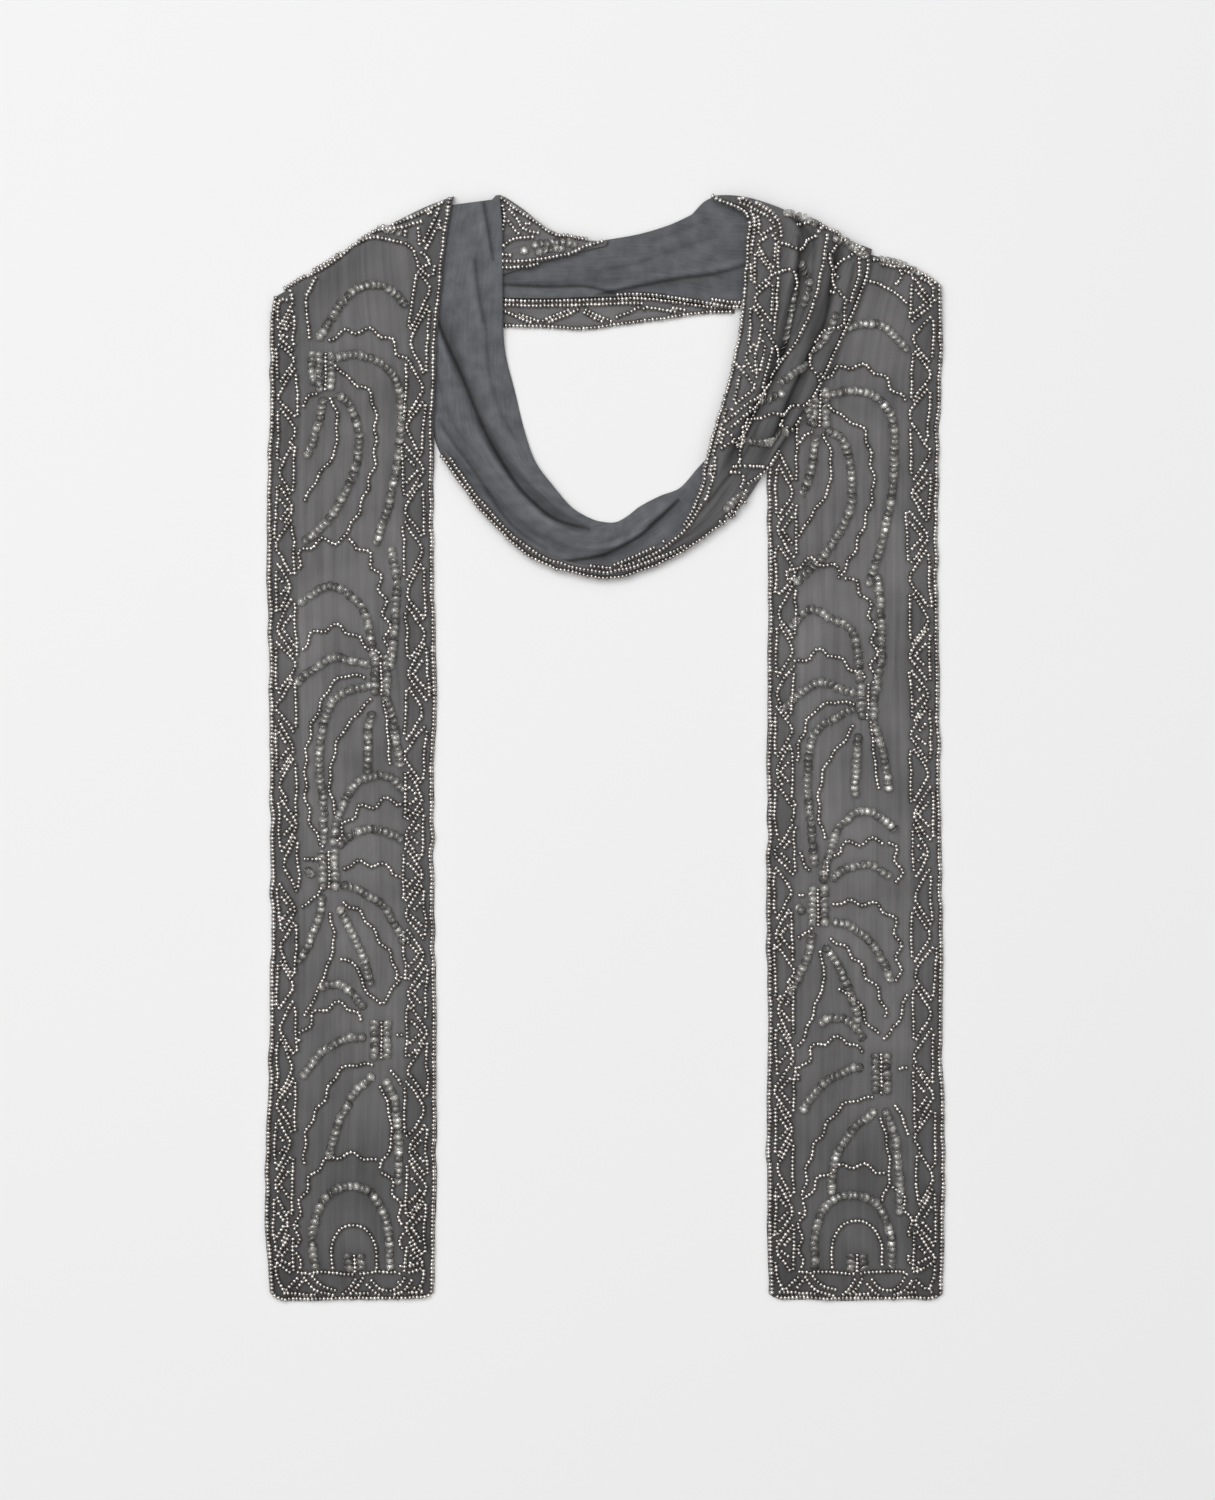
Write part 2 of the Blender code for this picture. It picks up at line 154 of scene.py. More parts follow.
LOOP_REVERSE = [
    (-85.0, 292.5, 4.6, -56.5, 296.0, 6.2, 1.2),
    (-88.5, 274.5, 4.4, -55.0, 274.5, 6.7, 1.4),
    (-93.5, 242.0, 4.6, -55.0, 242.0, 6.0, 1.4),
    (-95.5, 215.0, 2.6, -54.0, 215.0, 2.6, 2.0),
    (-95.5, 190.5, 1.2, -48.5, 192.0, 1.4, 2.4),
    (-92.5, 169.0, 1.2, -43.5, 171.5, 1.4, 2.4),
    (-86.0, 153.5, 1.2, -37.5, 154.5, 1.4, 2.4),
    (-74.0, 136.5, 1.2, -28.0, 141.5, 1.4, 2.4),
    (-60.0, 120.5, 1.2, -18.0, 130.0, 1.4, 2.2),
    (-43.5, 106.5, 1.2, -8.0, 124.0, 1.4, 2.0),
    (-24.5, 96.0, 1.2, -0.5, 122.0, 1.4, 1.6),
    (-2.5, 92.0, 1.2, 6.0, 122.0, 1.4, 1.4),
    (16.5, 95.0, 1.2, 12.5, 125.5, 1.4, 1.4),
    (32.0, 101.0, 1.2, 19.0, 130.5, 1.4, 1.4),
    (45.0, 109.5, 1.2, 29.5, 136.0, 1.4, 1.2),
    (54.5, 120.5, 1.2, 40.5, 140.5, 1.4, 1.0),
    (63.0, 134.0, 1.2, 49.5, 150.5, 1.4, 0.6),
    (69.0, 146.0, 1.2, 55.0, 156.5, 1.3, 0.4),
]
LOOP_FACE = [
    (144.0, 269.0, 5.0, 57.5, 297.5, 5.8, 2.4),
    (142.0, 259.0, 4.5, 76.5, 288.5, 6.0, 3.8),
    (137.5, 246.0, 4.0, 76.0, 269.0, 6.0, 4.4),
    (131.0, 230.0, 3.6, 75.0, 246.0, 5.6, 4.8),
    (123.0, 213.0, 3.2, 72.0, 220.5, 4.2, 5.2),
    (115.0, 195.5, 3.2, 66.5, 195.5, 3.4, 5.4),
    (104.0, 177.0, 3.2, 60.5, 175.0, 3.4, 5.2),
    (93.5, 161.0, 3.2, 55.5, 157.5, 3.6, 4.8),
    (85.0, 147.0, 3.2, 52.5, 142.5, 4.2, 4.2),
    (74.0, 131.0, 2.6, 47.0, 128.5, 4.6, 3.6),
    (60.0, 119.0, 2.7, 39.0, 116.5, 4.6, 3.0),
    (43.0, 107.0, 2.8, 28.5, 109.5, 4.6, 2.2),
    (24.5, 97.5, 3.0, 15.5, 104.0, 4.9, 1.5),
    (4.0, 91.5, 3.2, 2.5, 99.5, 4.8, 1.3),
    (-19.0, 94.5, 3.2, -17.5, 100.0, 4.8, 1.2),
    (-41.5, 103.5, 3.2, -39.0, 108.5, 4.9, 1.0),
    (-63.0, 123.5, 3.2, -60.5, 127.5, 4.8, 0.9),
    (-79.5, 144.5, 3.1, -76.5, 148.0, 4.6, 0.8),
    (-88.5, 157.5, 3.1, -86.5, 161.0, 4.6, 0.6),
]
NECK_REVERSE = [
    (-63.0, 243.5, 2.8, -63.0, 262.5, 2.8, 0.0),
    (-55.0, 243.0, 2.8, -55.0, 262.5, 2.8, 0.2),
    (-35.0, 242.5, 2.8, -35.0, 269.0, 2.8, 0.6),
    (-13.5, 243.0, 2.8, -13.5, 272.5, 2.8, 1.0),
    (2.5, 243.5, 2.8, 2.5, 274.5, 2.4, 1.2),
    (19.0, 244.0, 2.8, 19.0, 277.5, 2.2, 1.2),
    (35.0, 242.5, 2.8, 34.0, 282.0, 2.0, 1.2),
    (51.5, 240.0, 2.8, 46.0, 287.5, 1.8, 1.2),
    (65.0, 237.5, 2.8, 54.5, 292.5, 1.8, 1.0),
    (75.5, 237.0, 2.6, 65.0, 292.0, 1.8, 0.6),
    (86.0, 237.0, 2.4, 81.5, 287.0, 1.8, 0.2),
]
NECK_BORDER = [
    (-63.0, 227.5, 1.2, -63.0, 246.0, 1.2, 0.0),
    (-55.0, 227.0, 1.2, -55.0, 247.0, 1.2, 0.0),
    (-32.5, 226.5, 1.2, -32.5, 248.5, 1.2, 0.0),
    (-11.0, 225.5, 1.2, -11.0, 249.0, 1.2, 0.0),
    (8.0, 228.0, 1.2, 8.0, 249.0, 1.2, 0.0),
    (31.5, 231.0, 1.2, 29.5, 247.5, 1.2, 0.0),
    (51.5, 234.0, 1.2, 48.5, 246.0, 1.2, 0.0),
    (70.0, 234.5, 1.2, 70.0, 243.0, 1.2, 0.0),
]
NECK_FOLD = [
    (-63.0, 254.0, 4.8, -62.0, 294.5, 2.4, 0.4),
    (-56.0, 255.0, 4.8, -57.0, 298.5, 2.4, 0.6),
    (-46.0, 258.0, 4.8, -44.5, 291.0, 2.4, 1.4),
    (-34.5, 261.5, 4.8, -31.0, 280.5, 2.4, 2.0),
    (-23.0, 265.0, 4.8, -16.5, 275.0, 3.0, 2.0),
    (-11.0, 268.0, 4.8, -7.0, 273.5, 4.2, 1.2),
    (0.5, 270.5, 4.8, 1.5, 274.0, 4.4, 0.6),
]
# outer x, outer y, inner x, inner y, thickness
HIDDEN_LAYERS = [
    (-170.0, 231.0, -169.0, 238.0, 0.8),
    (-150.0, 226.0, -150.0, 248.0, 1.6),
    (-120.0, 227.0, -120.0, 264.0, 2.4),
    (-95.0, 231.0, -95.0, 276.0, 2.6),
    (-80.0, 232.0, -80.0, 284.0, 2.6),
    (-65.0, 234.0, -65.0, 288.0, 2.4),
]

# %% Fold tables
# first section, last section, place across at its start, middle and end, half width, height
LEFT_TAIL_FOLDS = [
    (6.4, 15.0, 1.02, 1.02, 1.02, 18.0, 3.3),
    (8.2, 11.6, 0.62, 0.55, 0.45, 14.0, 0.7),
]
RIGHT_TAIL_FOLDS = [
    (10.0, 13.6, 0.95, 0.84, 0.74, 10.0, 0.9),
]
LOOP_REVERSE_FOLDS = [
    (1.8, 10.4, 0.12, 0.655, 0.76, 5.0, -2.2),
    (0.6, 9.6, 0.36, 0.90, 0.92, 8.0, 1.6),
    (3.4, 9.8, 0.10, 0.46, 0.52, 8.0, 1.4),
    (4.6, 12.0, 0.02, 0.30, 0.40, 4.5, -1.5),
    (7.0, 14.4, 0.14, 0.10, 0.24, 5.0, 1.0),
    (10.0, 15.6, 0.44, 0.50, 0.84, 4.5, -1.3),
    (9.4, 13.2, 0.78, 0.72, 0.66, 5.0, 0.8),
    (-1.0, 3.4, 0.80, 0.78, 0.70, 6.0, 0.8),
]
LOOP_FACE_FOLDS = [
    (-1.0, 8.6, 0.53, 0.54, 0.68, 5.5, -3.6),
    (-0.4, 8.2, 0.24, 0.23, 0.10, 5.0, -3.0),
    (-1.0, 8.8, 0.39, 0.38, 0.38, 6.5, 2.2),
    (-1.0, 9.4, 0.77, 0.80, 0.86, 9.0, 1.6),
    (0.4, 8.0, 0.08, 0.09, 0.02, 5.0, 1.0),
    (7.6, 12.6, 0.50, 0.52, 0.60, 3.5, -0.8),
]
NECK_REVERSE_FOLDS = [
    (1.0, 8.4, 0.30, 0.24, 0.16, 4.0, -0.9),
    (2.0, 9.8, 0.50, 0.44, 0.34, 7.0, 1.2),
    (3.0, 9.8, 0.80, 0.76, 0.66, 6.0, 0.8),
]
NECK_FOLD_FOLDS = [
    (0.0, 4.6, 0.45, 0.50, 0.55, 5.0, -0.7),
]
long_tables = (LEFT_TAIL, RIGHT_TAIL, LOOP_REVERSE, LOOP_FACE)
print("sections:", sum(len(rows) for rows in long_tables), "of the tails and the loop")

# %% [markdown]
# Reading the tables. A stretch is a function of two parameters: the section number along it, and the place
# across it from nought to one. The first helper reads a table between its rows, the second adds the folds.
# Cloth that has been worn is never smooth, so a third gives the soft unevenness that the tables leave out.

# %% Reading sections and folds
FOLD_ENDS = 0.18     # share of its length over which a fold fades at each end


def along(rows, sections):
    """A table read at in-between sections, by a Catmull-Rom curve through each column."""
    table_rows = np.array(rows, float)
    before, after = 2 * table_rows[0] - table_rows[1], 2 * table_rows[-1] - table_rows[-2]
    table_rows = np.vstack([before, table_rows, after])
    s = np.clip(np.asarray(sections, float), 0.0, len(rows) - 1)
    k = np.minimum(s.astype(int), len(rows) - 2)
    t = (s - k)[..., None]
    a, b, c, d = (table_rows[k + i] for i in range(4))
    square, cube = 2 * a - 5 * b + 4 * c - d, 3 * b - a - 3 * c + d
    return 0.5 * (2 * b + (c - a) * t + square * t ** 2 + cube * t ** 3)


def crease(folds, section, across, width):
    """The height that the folds add: each is height * cos^2 across its half width, and fades at its ends."""
    total = np.zeros(np.broadcast(section, across).shape)
    for first, last, start, middle, end, half_width, height in folds:
        t = (section - first) / (last - first)
        line = start * (1 - t) * (1 - 2 * t) + middle * 4 * t * (1 - t) + end * t * (2 * t - 1)
        off = np.clip(np.abs(across - line) * width / half_width, 0, 1)
        fade = np.clip(np.minimum(t, 1 - t) / FOLD_ENDS, 0, 1)
        total = total + height * np.cos(off * np.pi / 2) ** 2 * fade * fade * (3 - 2 * fade)
    return total


def soft_noise(x, y, seed):
    """Smooth random heights from -1 to 1: values on a unit grid, blended by s*s*(3 - 2*s) in each cell."""
    grid = np.random.default_rng(seed).uniform(-1, 1, (64, 64))
    x, y = np.broadcast_arrays(x, y)
    i, j = np.floor(x).astype(int), np.floor(y).astype(int)
    s, t = x - i, y - j
    s, t = s * s * (3 - 2 * s), t * t * (3 - 2 * t)
    near = grid[i % 64, j % 64] * (1 - s) + grid[(i + 1) % 64, j % 64] * s
    far = grid[i % 64, (j + 1) % 64] * (1 - s) + grid[(i + 1) % 64, (j + 1) % 64] * s
    return near * (1 - t) + far * t


def curve_through(places, step=0.05):
    """A smooth curve through a few places, or the straight line between two."""
    places = np.array(places, float)
    if len(places) == 2:
        return places[0] + (places[1] - places[0]) * np.linspace(0, 1, 60)[:, None]
    return along(places, np.arange(0, len(places) - 1 + step / 2, step))


print("left tail, half way up:", np.round(along(LEFT_TAIL, [5.5])[0], 1))

# %% [markdown]
# Sharp creases. The reverse of the loop is pressed into a few sharp creases that cross from one edge to the
# other, so they are drawn in plan, as places in millimetres. Each falls steeply on its right side and gently
# on its left. The same lines paint shade into the cloth along each crease, darkest along its bottom, with a
# painted highlight beside the steep side.

# %% Crease lines in plan
# depth, gentle side's width, painted shade, then the places
LOOP_CREASES = [
    (1.7, 9.0, 1.00, (-95, 244), (-87, 222), (-77, 200), (-64, 169), (-49, 144), (-38, 132), (-26, 123),
     (-8, 118)),
    (1.0, 8.0, 0.50, (-90, 178), (-84, 168), (-67, 144), (-50, 120), (-31, 107)),
    (1.0, 6.0, 0.95, (40, 134), (28, 123), (18, 114), (3, 106), (-7, 103), (-26, 100)),
    (0.9, 5.0, 0.60, (-66, 297), (-63, 280), (-60, 262)),
    (0.7, 6.0, 0.50, (-70, 264), (-68, 245), (-64, 225)),
    (0.7, 6.0, 0.28, (-64, 226), (-62, 200), (-55, 178), (-44, 160)),
    (0.6, 7.0, 0.24, (-92, 206), (-86, 184), (-76, 166), (-66, 156)),
    (0.5, 5.0, 0.26, (2, 112), (16, 117), (30, 124), (44, 140)),
]
NECK_CREASES = [
    (0.9, 4.0, 0.70, (-62, 250), (-31, 249), (-11, 249), (6, 245)),
    (1.0, 8.0, 0.80, (84, 263), (60, 256), (41, 253.5), (22, 250), (8, 247), (-6, 244)),
    (0.5, 6.0, 0.20, (-10, 256), (12, 260), (36, 268), (60, 276)),
    (0.4, 4.0, 0.18, (20, 272), (40, 279), (58, 286)),
]
ARM_CREASES = [
    (1.2, 4.0, 0.95, (104, 276), (104, 258), (99, 231), (94, 208), (86, 193), (75, 176)),
    (1.2, 4.0, 0.90, (124, 266), (122, 252), (118, 229), (109, 210), (98, 186), (90, 164)),
    (0.6, 4.0, 0.50, (112, 282), (112, 262), (108, 240), (102, 222)),
    (0.5, 4.0, 0.50, (134, 262), (131, 246), (123, 226)),
    (0.6, 4.0, 0.55, (84, 178), (76, 160), (66, 146), (52, 128)),
]
CORE = 1.7                # half width of the line of painted shade at the bottom of a crease
STEEP = 0.28              # the steep side's width, as a share of the gentle side's
CREASE_ENDS = 0.15        # share of its length over which a crease fades at each end
SHOULDER = (3.4, 1.5)     # how far from its crease the painted highlight on the steep side is, and how broad


def beside(plan, places):
    """Each point's distance from the line through the places, its side (+1 is left) and share along it."""
    line = curve_through(places, 0.25)
    start, step = line[:-1], np.diff(line, axis=0)
    off = plan[..., None, :] - start
    share = np.clip((off * step).sum(-1) / (step ** 2).sum(-1), 0, 1)
    gap = np.linalg.norm(off - share[..., None] * step, axis=-1)
    nearest = gap.argmin(-1)
    pick = lambda values: np.take_along_axis(values, nearest[..., None], -1)[..., 0]
    side = np.sign(pick(step[:, 0] * off[..., 1] - step[:, 1] * off[..., 0]))
    return pick(gap), side, (nearest + pick(share)) / len(step)


def press(creases, plan):
    """Depth in mm and painted shade of the sharp creases at plan places, with a painted highlight on the
    steep side.
    """
    depth, dark = np.zeros(plan.shape[:-1]), np.zeros(plan.shape[:-1])
    for deep, gentle, shade, *places in creases:
        gap, side, share = beside(plan, places)
        ends = np.clip(np.minimum(share, 1 - share) / CREASE_ENDS, 0, 1)
        form = np.clip(1 - gap / np.where(side > 0, gentle, STEEP * gentle), 0, 1) ** 2 * ends
        core = np.clip(1 - gap / CORE, 0, 1) * (form > 0)
        painted_highlight = np.exp(-((gap - SHOULDER[0]) / SHOULDER[1]) ** 2) * (side < 0) * ends
        depth = depth + deep * form
        dark = dark + shade * (0.45 * form + 0.55 * core) - 0.25 * shade * painted_highlight
    return depth, np.clip(dark, -0.3, 0.8)


print("sharp creases:", len(LOOP_CREASES) + len(NECK_CREASES) + len(ARM_CREASES))

# %% [markdown]
# A stretch as a surface. It puts the parts together: the sheet between its edges, the bowed ends, the
# crown, the folds, the sharp creases and the unevenness. The tops of both tails and of the face arm are
# bowed, skewed to the inner side, so there the cloth lies up to 1.7 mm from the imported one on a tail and
# 2.6 mm on the arm. A tail's edges were hemmed by hand, so they wander by about half a millimetre, and its
# hem by more, with rounded corners. The neck band is drawn up a little where it goes under the arm.

# %% The sheet as a surface
WALL = 1.2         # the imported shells' wall
CLOTH = 0.4        # the gauze's own thickness here
FLOOR = WALL       # height of the shells' upper side where they lie on the table
ROLL_LENGTH = 0.28
BOW_LENGTH = 2.2   # how many sections a bowed end reaches back
BOW_PEAK = 6.75    # makes the bow's across^2 * (1 - across) one where it is highest
CORNER = 9.0       # how far in from an edge a hem's rounded corner reaches
CORNER_UP = 14.0   # and how far up the tail
CORNER_RISE = 5.0  # its height, for a raggedness of one
NECK_TUCK = (59.0, 293.0, 13.0, 4.5)     # x, y, reach and rise


class Stretch:
    """One stretch of the strip. at gives points of its upper side in mm for a section and a place across,
    on_strip turns millimetres along and across the strip into those, and find does so for places in plan."""

    def __init__(self, rows, folds, seed, roll=(0.0, 0.0), bow=(0.0, 0.0), puckers=0.8, creases=(),
                 ragged=0.0, tuck=None):
        self.rows, self.folds, self.seed, self.roll, self.bow = rows, folds, seed, roll, bow
        self.puckers, self.creases, self.ragged, self.known = puckers, creases, ragged, None
        self.last, self.tuck = len(rows) - 1, tuck
        self.fine = np.linspace(0, self.last, 900)
        read = along(rows, self.fine)
        middle = (read[:, 0:2] + read[:, 3:5]) / 2
        self.run = np.concatenate([[0], np.cumsum(np.linalg.norm(np.diff(middle, axis=0), axis=1))])
        self.widths = np.linalg.norm(read[:, 3:5] - read[:, 0:2], axis=1)
        self.length = self.run[-1]

    def width(self, section):
        return np.interp(section, self.fine, self.widths)

    def on_strip(self, up, from_outer):
        section = np.interp(up, self.run, self.fine)
        return section, np.asarray(from_outer) / self.width(section)

    def wander(self, up, side, width, across):
        """Sideways and upward shifts of a hand-sewn edge and hem, and of the hem's rounded corners."""
        outer = soft_noise(up / 10 + 2, 0.5, self.seed + 60) * (1 - across) ** 6
        inner = soft_noise(up / 10 + 2, 0.5, self.seed + 61) * across ** 6
        hem = 1.4 * soft_noise(side / 11 + 1, 0.5, self.seed + 62) * np.clip(1 - up / 10, 0, 1)
        near = np.clip(1 - np.minimum(side, width - side) / CORNER, 0, 1)
        corner = near ** 2 * np.clip(1 - up / CORNER_UP, 0, 1)
        return self.ragged * (outer + inner), self.ragged * (hem + CORNER_RISE * corner)

    def at(self, section, across):
        """outer + (inner - outer) * across, plus bow, crown, folds and puckers, less the creases' depth."""
        section, across = np.broadcast_arrays(np.asarray(section, float), np.asarray(across, float))
        row = along(self.rows, section)
        u = across[..., None]
        point = row[..., 0:3] * (1 - u) + row[..., 3:6] * u
        way = row[..., 3:5] - row[..., 0:2]
        width = np.linalg.norm(way, axis=-1)
        up = np.interp(section, self.fine, self.run)
        side = across * width
        bulge = (1 - np.abs(2 * across - 1) ** 2.6) ** (1 / 2.6)
        point[..., 2] += row[..., 6] * bulge + crease(self.folds, section, across, width)
        for share, bow, near in zip(self.roll, self.bow, (section, self.last - section)):
            reach = np.clip(1 - near / BOW_LENGTH, 0, 1)
            point[..., 1] += bow * BOW_PEAK * across ** 2 * (1 - across) * reach ** 2
            step = np.clip(1 - near / ROLL_LENGTH, 0, 1)
            point[..., 2] -= share * (point[..., 2] - FLOOR) * (1 - np.sqrt(1 - step ** 2))
        if self.ragged:
            shift, lift = self.wander(up, side, width, across)
            point[..., 0:2] += way / width[..., None] * shift[..., None]
            point[..., 1] += lift
        if self.tuck:
            x, y, reach, rise = self.tuck
            away = np.hypot(point[..., 0] - x, point[..., 1] - y)
            point[..., 1] += rise * np.clip(1 - away / reach, 0, 1)
        if self.creases:
            point[..., 2] -= press(self.creases, point[..., 0:2])[0]
        point[..., 2] = np.maximum(point[..., 2], FLOOR)
        wide = soft_noise(up / 26 + 3, side / 15 + 5, self.seed)
        fine = soft_noise(up / 11 + 7, side / 3.2 + 9, self.seed + 40)
        point[..., 2] += self.puckers * (0.32 * (wide + 0.6) + 0.13 * (fine + 0.5)) - (WALL - CLOTH)
        return point

    def normal(self, section, across):
        """The cross product of the steps along and across the sheet, turned to point up."""
        ds, du = 0.01, 0.005
        s0, s1 = np.clip(section - ds, 0, self.last), np.clip(section + ds, 0, self.last)
        u0, u1 = np.clip(across - du, 0, 1), np.clip(across + du, 0, 1)
        ahead = self.at(s1, across) - self.at(s0, across)
        aside = self.at(section, u1) - self.at(section, u0)
        cross = np.cross(ahead, aside)
        cross /= np.linalg.norm(cross, axis=-1, keepdims=True) + 1e-12
        return cross * np.where(cross[..., 2:] < 0, -1, 1)

    def find(self, plan):
        """The section and place across nearest to each place in plan, looked up on a fine grid."""
        if self.known is None:
            s, u = np.meshgrid(np.linspace(0, self.last, 700), np.linspace(0, 1, 120), indexing="ij")
            self.known = s.ravel(), u.ravel(), self.at(s, u)[..., :2].reshape(-1, 2)
        s, u, ground = self.known
        nearest = np.array([((ground - place) ** 2).sum(axis=1).argmin() for place in plan])
        return s[nearest], u[nearest]


left_tail = Stretch(LEFT_TAIL, LEFT_TAIL_FOLDS, 11, (0.0, 1.0), (0.0, 4.0), 1.0, ragged=0.8)
right_tail = Stretch(RIGHT_TAIL, RIGHT_TAIL_FOLDS, 12, (0.0, 1.0), (0.0, 4.0), 1.0, ragged=0.8)
loop_reverse = Stretch(LOOP_REVERSE, LOOP_REVERSE_FOLDS, 13, (0.3, 0.0), creases=LOOP_CREASES)
loop_face = Stretch(LOOP_FACE, LOOP_FACE_FOLDS, 14, (0.3, 0.0), (6.0, 0.0), creases=ARM_CREASES)
neck_reverse = Stretch(NECK_REVERSE, NECK_REVERSE_FOLDS, 15, creases=NECK_CREASES, tuck=NECK_TUCK)
neck_border = Stretch(NECK_BORDER, [], 16, puckers=0.3)
neck_fold = Stretch(NECK_FOLD, NECK_FOLD_FOLDS, 17, puckers=0.4)
print("left tail, mm:", round(left_tail.length), "long,", round(float(left_tail.widths.mean())), "wide")

# %% [markdown]
# Gauze. The cloth is a fine crinkled weave: close up it is a grid of threads, and from a step away it shows
# streaks that run with the strip. Both are worked out from the piece's own map, in metres along and across
# the strip, so they follow the cloth round the loop. One group gives the streaks and the threads to every
# cloth.

# %% Gauze as a node group


def add(tree, kind, **values):
    """A node of that kind, with the named inputs or properties set."""
    made = tree.nodes.new(kind)
    for key, value in values.items():
        if key in made.inputs:
            made.inputs[key].default_value = value
        else:
            setattr(made, key, value)
    return made


def gauze_group():
    """Streaks that run with the strip, broad cloudiness and the weave's grid, as a tone and as a height."""
    group = bpy.data.node_groups.new("gauze", "ShaderNodeTree")
    group.interface.new_socket("Streaks per metre", in_out="INPUT", socket_type="NodeSocketFloat")
    group.interface.new_socket("Clouds per metre", in_out="INPUT", socket_type="NodeSocketFloat")
    group.interface.new_socket("Tone", in_out="OUTPUT", socket_type="NodeSocketFloat")
    group.interface.new_socket("Height", in_out="OUTPUT", socket_type="NodeSocketFloat")
    inside = group.nodes.new("NodeGroupInput")
    outside = group.nodes.new("NodeGroupOutput")
    link = group.links.new
    place = add(group, "ShaderNodeUVMap", uv_map="strip")
    stretch_map = add(group, "ShaderNodeVectorMath", operation="MULTIPLY")
    stretch_map.inputs[1].default_value = (1.0, 0.03, 1.0)
    link(place.outputs["UV"], stretch_map.inputs[0])
    streaks = add(group, "ShaderNodeTexNoise", Detail=6.0, Roughness=0.74)
    link(stretch_map.outputs["Vector"], streaks.inputs["Vector"])
    link(inside.outputs["Streaks per metre"], streaks.inputs["Scale"])
    clouds = add(group, "ShaderNodeTexNoise", Detail=3.0, Roughness=0.5)
    link(place.outputs["UV"], clouds.inputs["Vector"])
    link(inside.outputs["Clouds per metre"], clouds.inputs["Scale"])
    threads = []
    for way in ("X", "Y"):
        wave = add(group, "ShaderNodeTexWave", bands_direction=way, Scale=520.0, Distortion=1.4, Detail=1.0)
        link(place.outputs["UV"], wave.inputs["Vector"])
        threads.append(wave)
    weave = add(group, "ShaderNodeMath", operation="MULTIPLY")
    link(threads[0].outputs["Fac"], weave.inputs[0])
    link(threads[1].outputs["Fac"], weave.inputs[1])
    tone = add(group, "ShaderNodeMath", operation="MULTIPLY_ADD")
    link(streaks.outputs["Fac"], tone.inputs[0])
    tone.inputs[1].default_value = 1.0
    link(clouds.outputs["Fac"], tone.inputs[2])
    half = add(group, "ShaderNodeMath", operation="DIVIDE")
    link(tone.outputs[0], half.inputs[0])
    half.inputs[1].default_value = 2.0
    height = add(group, "ShaderNodeMath", operation="MULTIPLY_ADD")
    link(weave.outputs[0], height.inputs[0])
    height.inputs[1].default_value = 0.22
    link(streaks.outputs["Fac"], height.inputs[2])
    link(half.outputs[0], outside.inputs["Tone"])
    link(height.outputs[0], outside.inputs["Height"])
    return group


GAUZE = gauze_group()
print("gauze group:", len(GAUZE.nodes), "nodes")

# %% [markdown]
# Gauze materials. The face is a middle grey, the reverse cooler and darker, with a finer grain. The arm has
# the face's gauze painted darker, a painted shade for its pleats. Each cloth also carries a painted light of
# its own, which darkens it in its creases and towards the ends of a tail.

# %% Gauze materials


def gauze(name, dark, light, streaks, clouds, bump):
    """A gauze material: its tone runs from dark to light, times the painted light; its height is a bump."""
    made = bpy.data.materials.new(name)
    made.use_nodes = True
    tree = made.node_tree
    shader = tree.nodes["Principled BSDF"]
    shader.inputs["Roughness"].default_value = 0.82
    shader.inputs["Sheen Weight"].default_value = 0.12
    shader.inputs["Sheen Roughness"].default_value = 0.5
    shader.inputs["Specular IOR Level"].default_value = 0.25
    cloth = add(tree, "ShaderNodeGroup", node_tree=GAUZE)
    cloth.inputs["Streaks per metre"].default_value = streaks
    cloth.inputs["Clouds per metre"].default_value = clouds
    ramp = add(tree, "ShaderNodeValToRGB")
    ramp.color_ramp.elements[0].position = 0.32
    ramp.color_ramp.elements[0].color = (*dark, 1)
    ramp.color_ramp.elements[1].position = 0.68
    ramp.color_ramp.elements[1].color = (*light, 1)
    painted = add(tree, "ShaderNodeAttribute", attribute_name="light")
    lit = add(tree, "ShaderNodeVectorMath", operation="SCALE")
    relief = add(tree, "ShaderNodeBump", Strength=bump, Distance=0.0006)
    tree.links.new(cloth.outputs["Tone"], ramp.inputs["Fac"])
    tree.links.new(ramp.outputs["Color"], lit.inputs["Vector"])
    tree.links.new(painted.outputs["Fac"], lit.inputs["Scale"])
    tree.links.new(lit.outputs["Vector"], shader.inputs["Base Color"])
    tree.links.new(cloth.outputs["Height"], relief.inputs["Height"])
    tree.links.new(relief.outputs["Normal"], shader.inputs["Normal"])
    return made


FACE_GAUZE = gauze("face_gauze", (0.096, 0.093, 0.095), (0.224, 0.217, 0.218), 260.0, 22.0, 0.5)
# the arm: the face gauze painted darker, as painted shade
SHADED_ARM_GAUZE = gauze("shaded_arm_gauze", (0.072, 0.070, 0.072), (0.166, 0.161, 0.165), 300.0, 30.0, 0.5)
REVERSE_GAUZE = gauze("reverse_gauze", (0.084, 0.086, 0.093), (0.182, 0.186, 0.201), 1300.0, 110.0, 0.6)
print("gauze materials:", [m.name for m in (FACE_GAUZE, SHADED_ARM_GAUZE, REVERSE_GAUZE)])

# %% [markdown]
# The cloth itself. Each stretch is laid out on a grid of steps along and across it, worked out as whole
# arrays, and stands for its packed shell. Solidify gives it the gauze's thickness on the under side. The
# map that the gauze reads holds the metres along and across the strip, so the streaks keep their scale
# everywhere.

# %% Cloth pieces
ROLL_STEPS = np.array([0.004, 0.012, 0.025, 0.045, 0.075, 0.115, 0.165, 0.22, 0.27])
# share of the length, light
TAIL_LIGHT = [(0.0, 0.61), (0.10, 0.69), (0.30, 0.91), (0.60, 1.0), (0.84, 0.90), (1.0, 0.80)]
BORDER_SHADE, BORDER_WIDTH = 0.24, 14.0
FOLD_SHADE = 0.16      # darkening for each millimetre that a fold's trough goes down
ROLL_END = 0.29        # the even steps begin past this, where an end is rolled


def grid_faces(rows, columns):
    """The quads of a grid whose points are numbered row by row."""
    first = (np.arange(rows - 1)[:, None] * columns + np.arange(columns - 1)).ravel()
    return np.stack([first, first + 1, first + columns + 1, first + columns], axis=1)


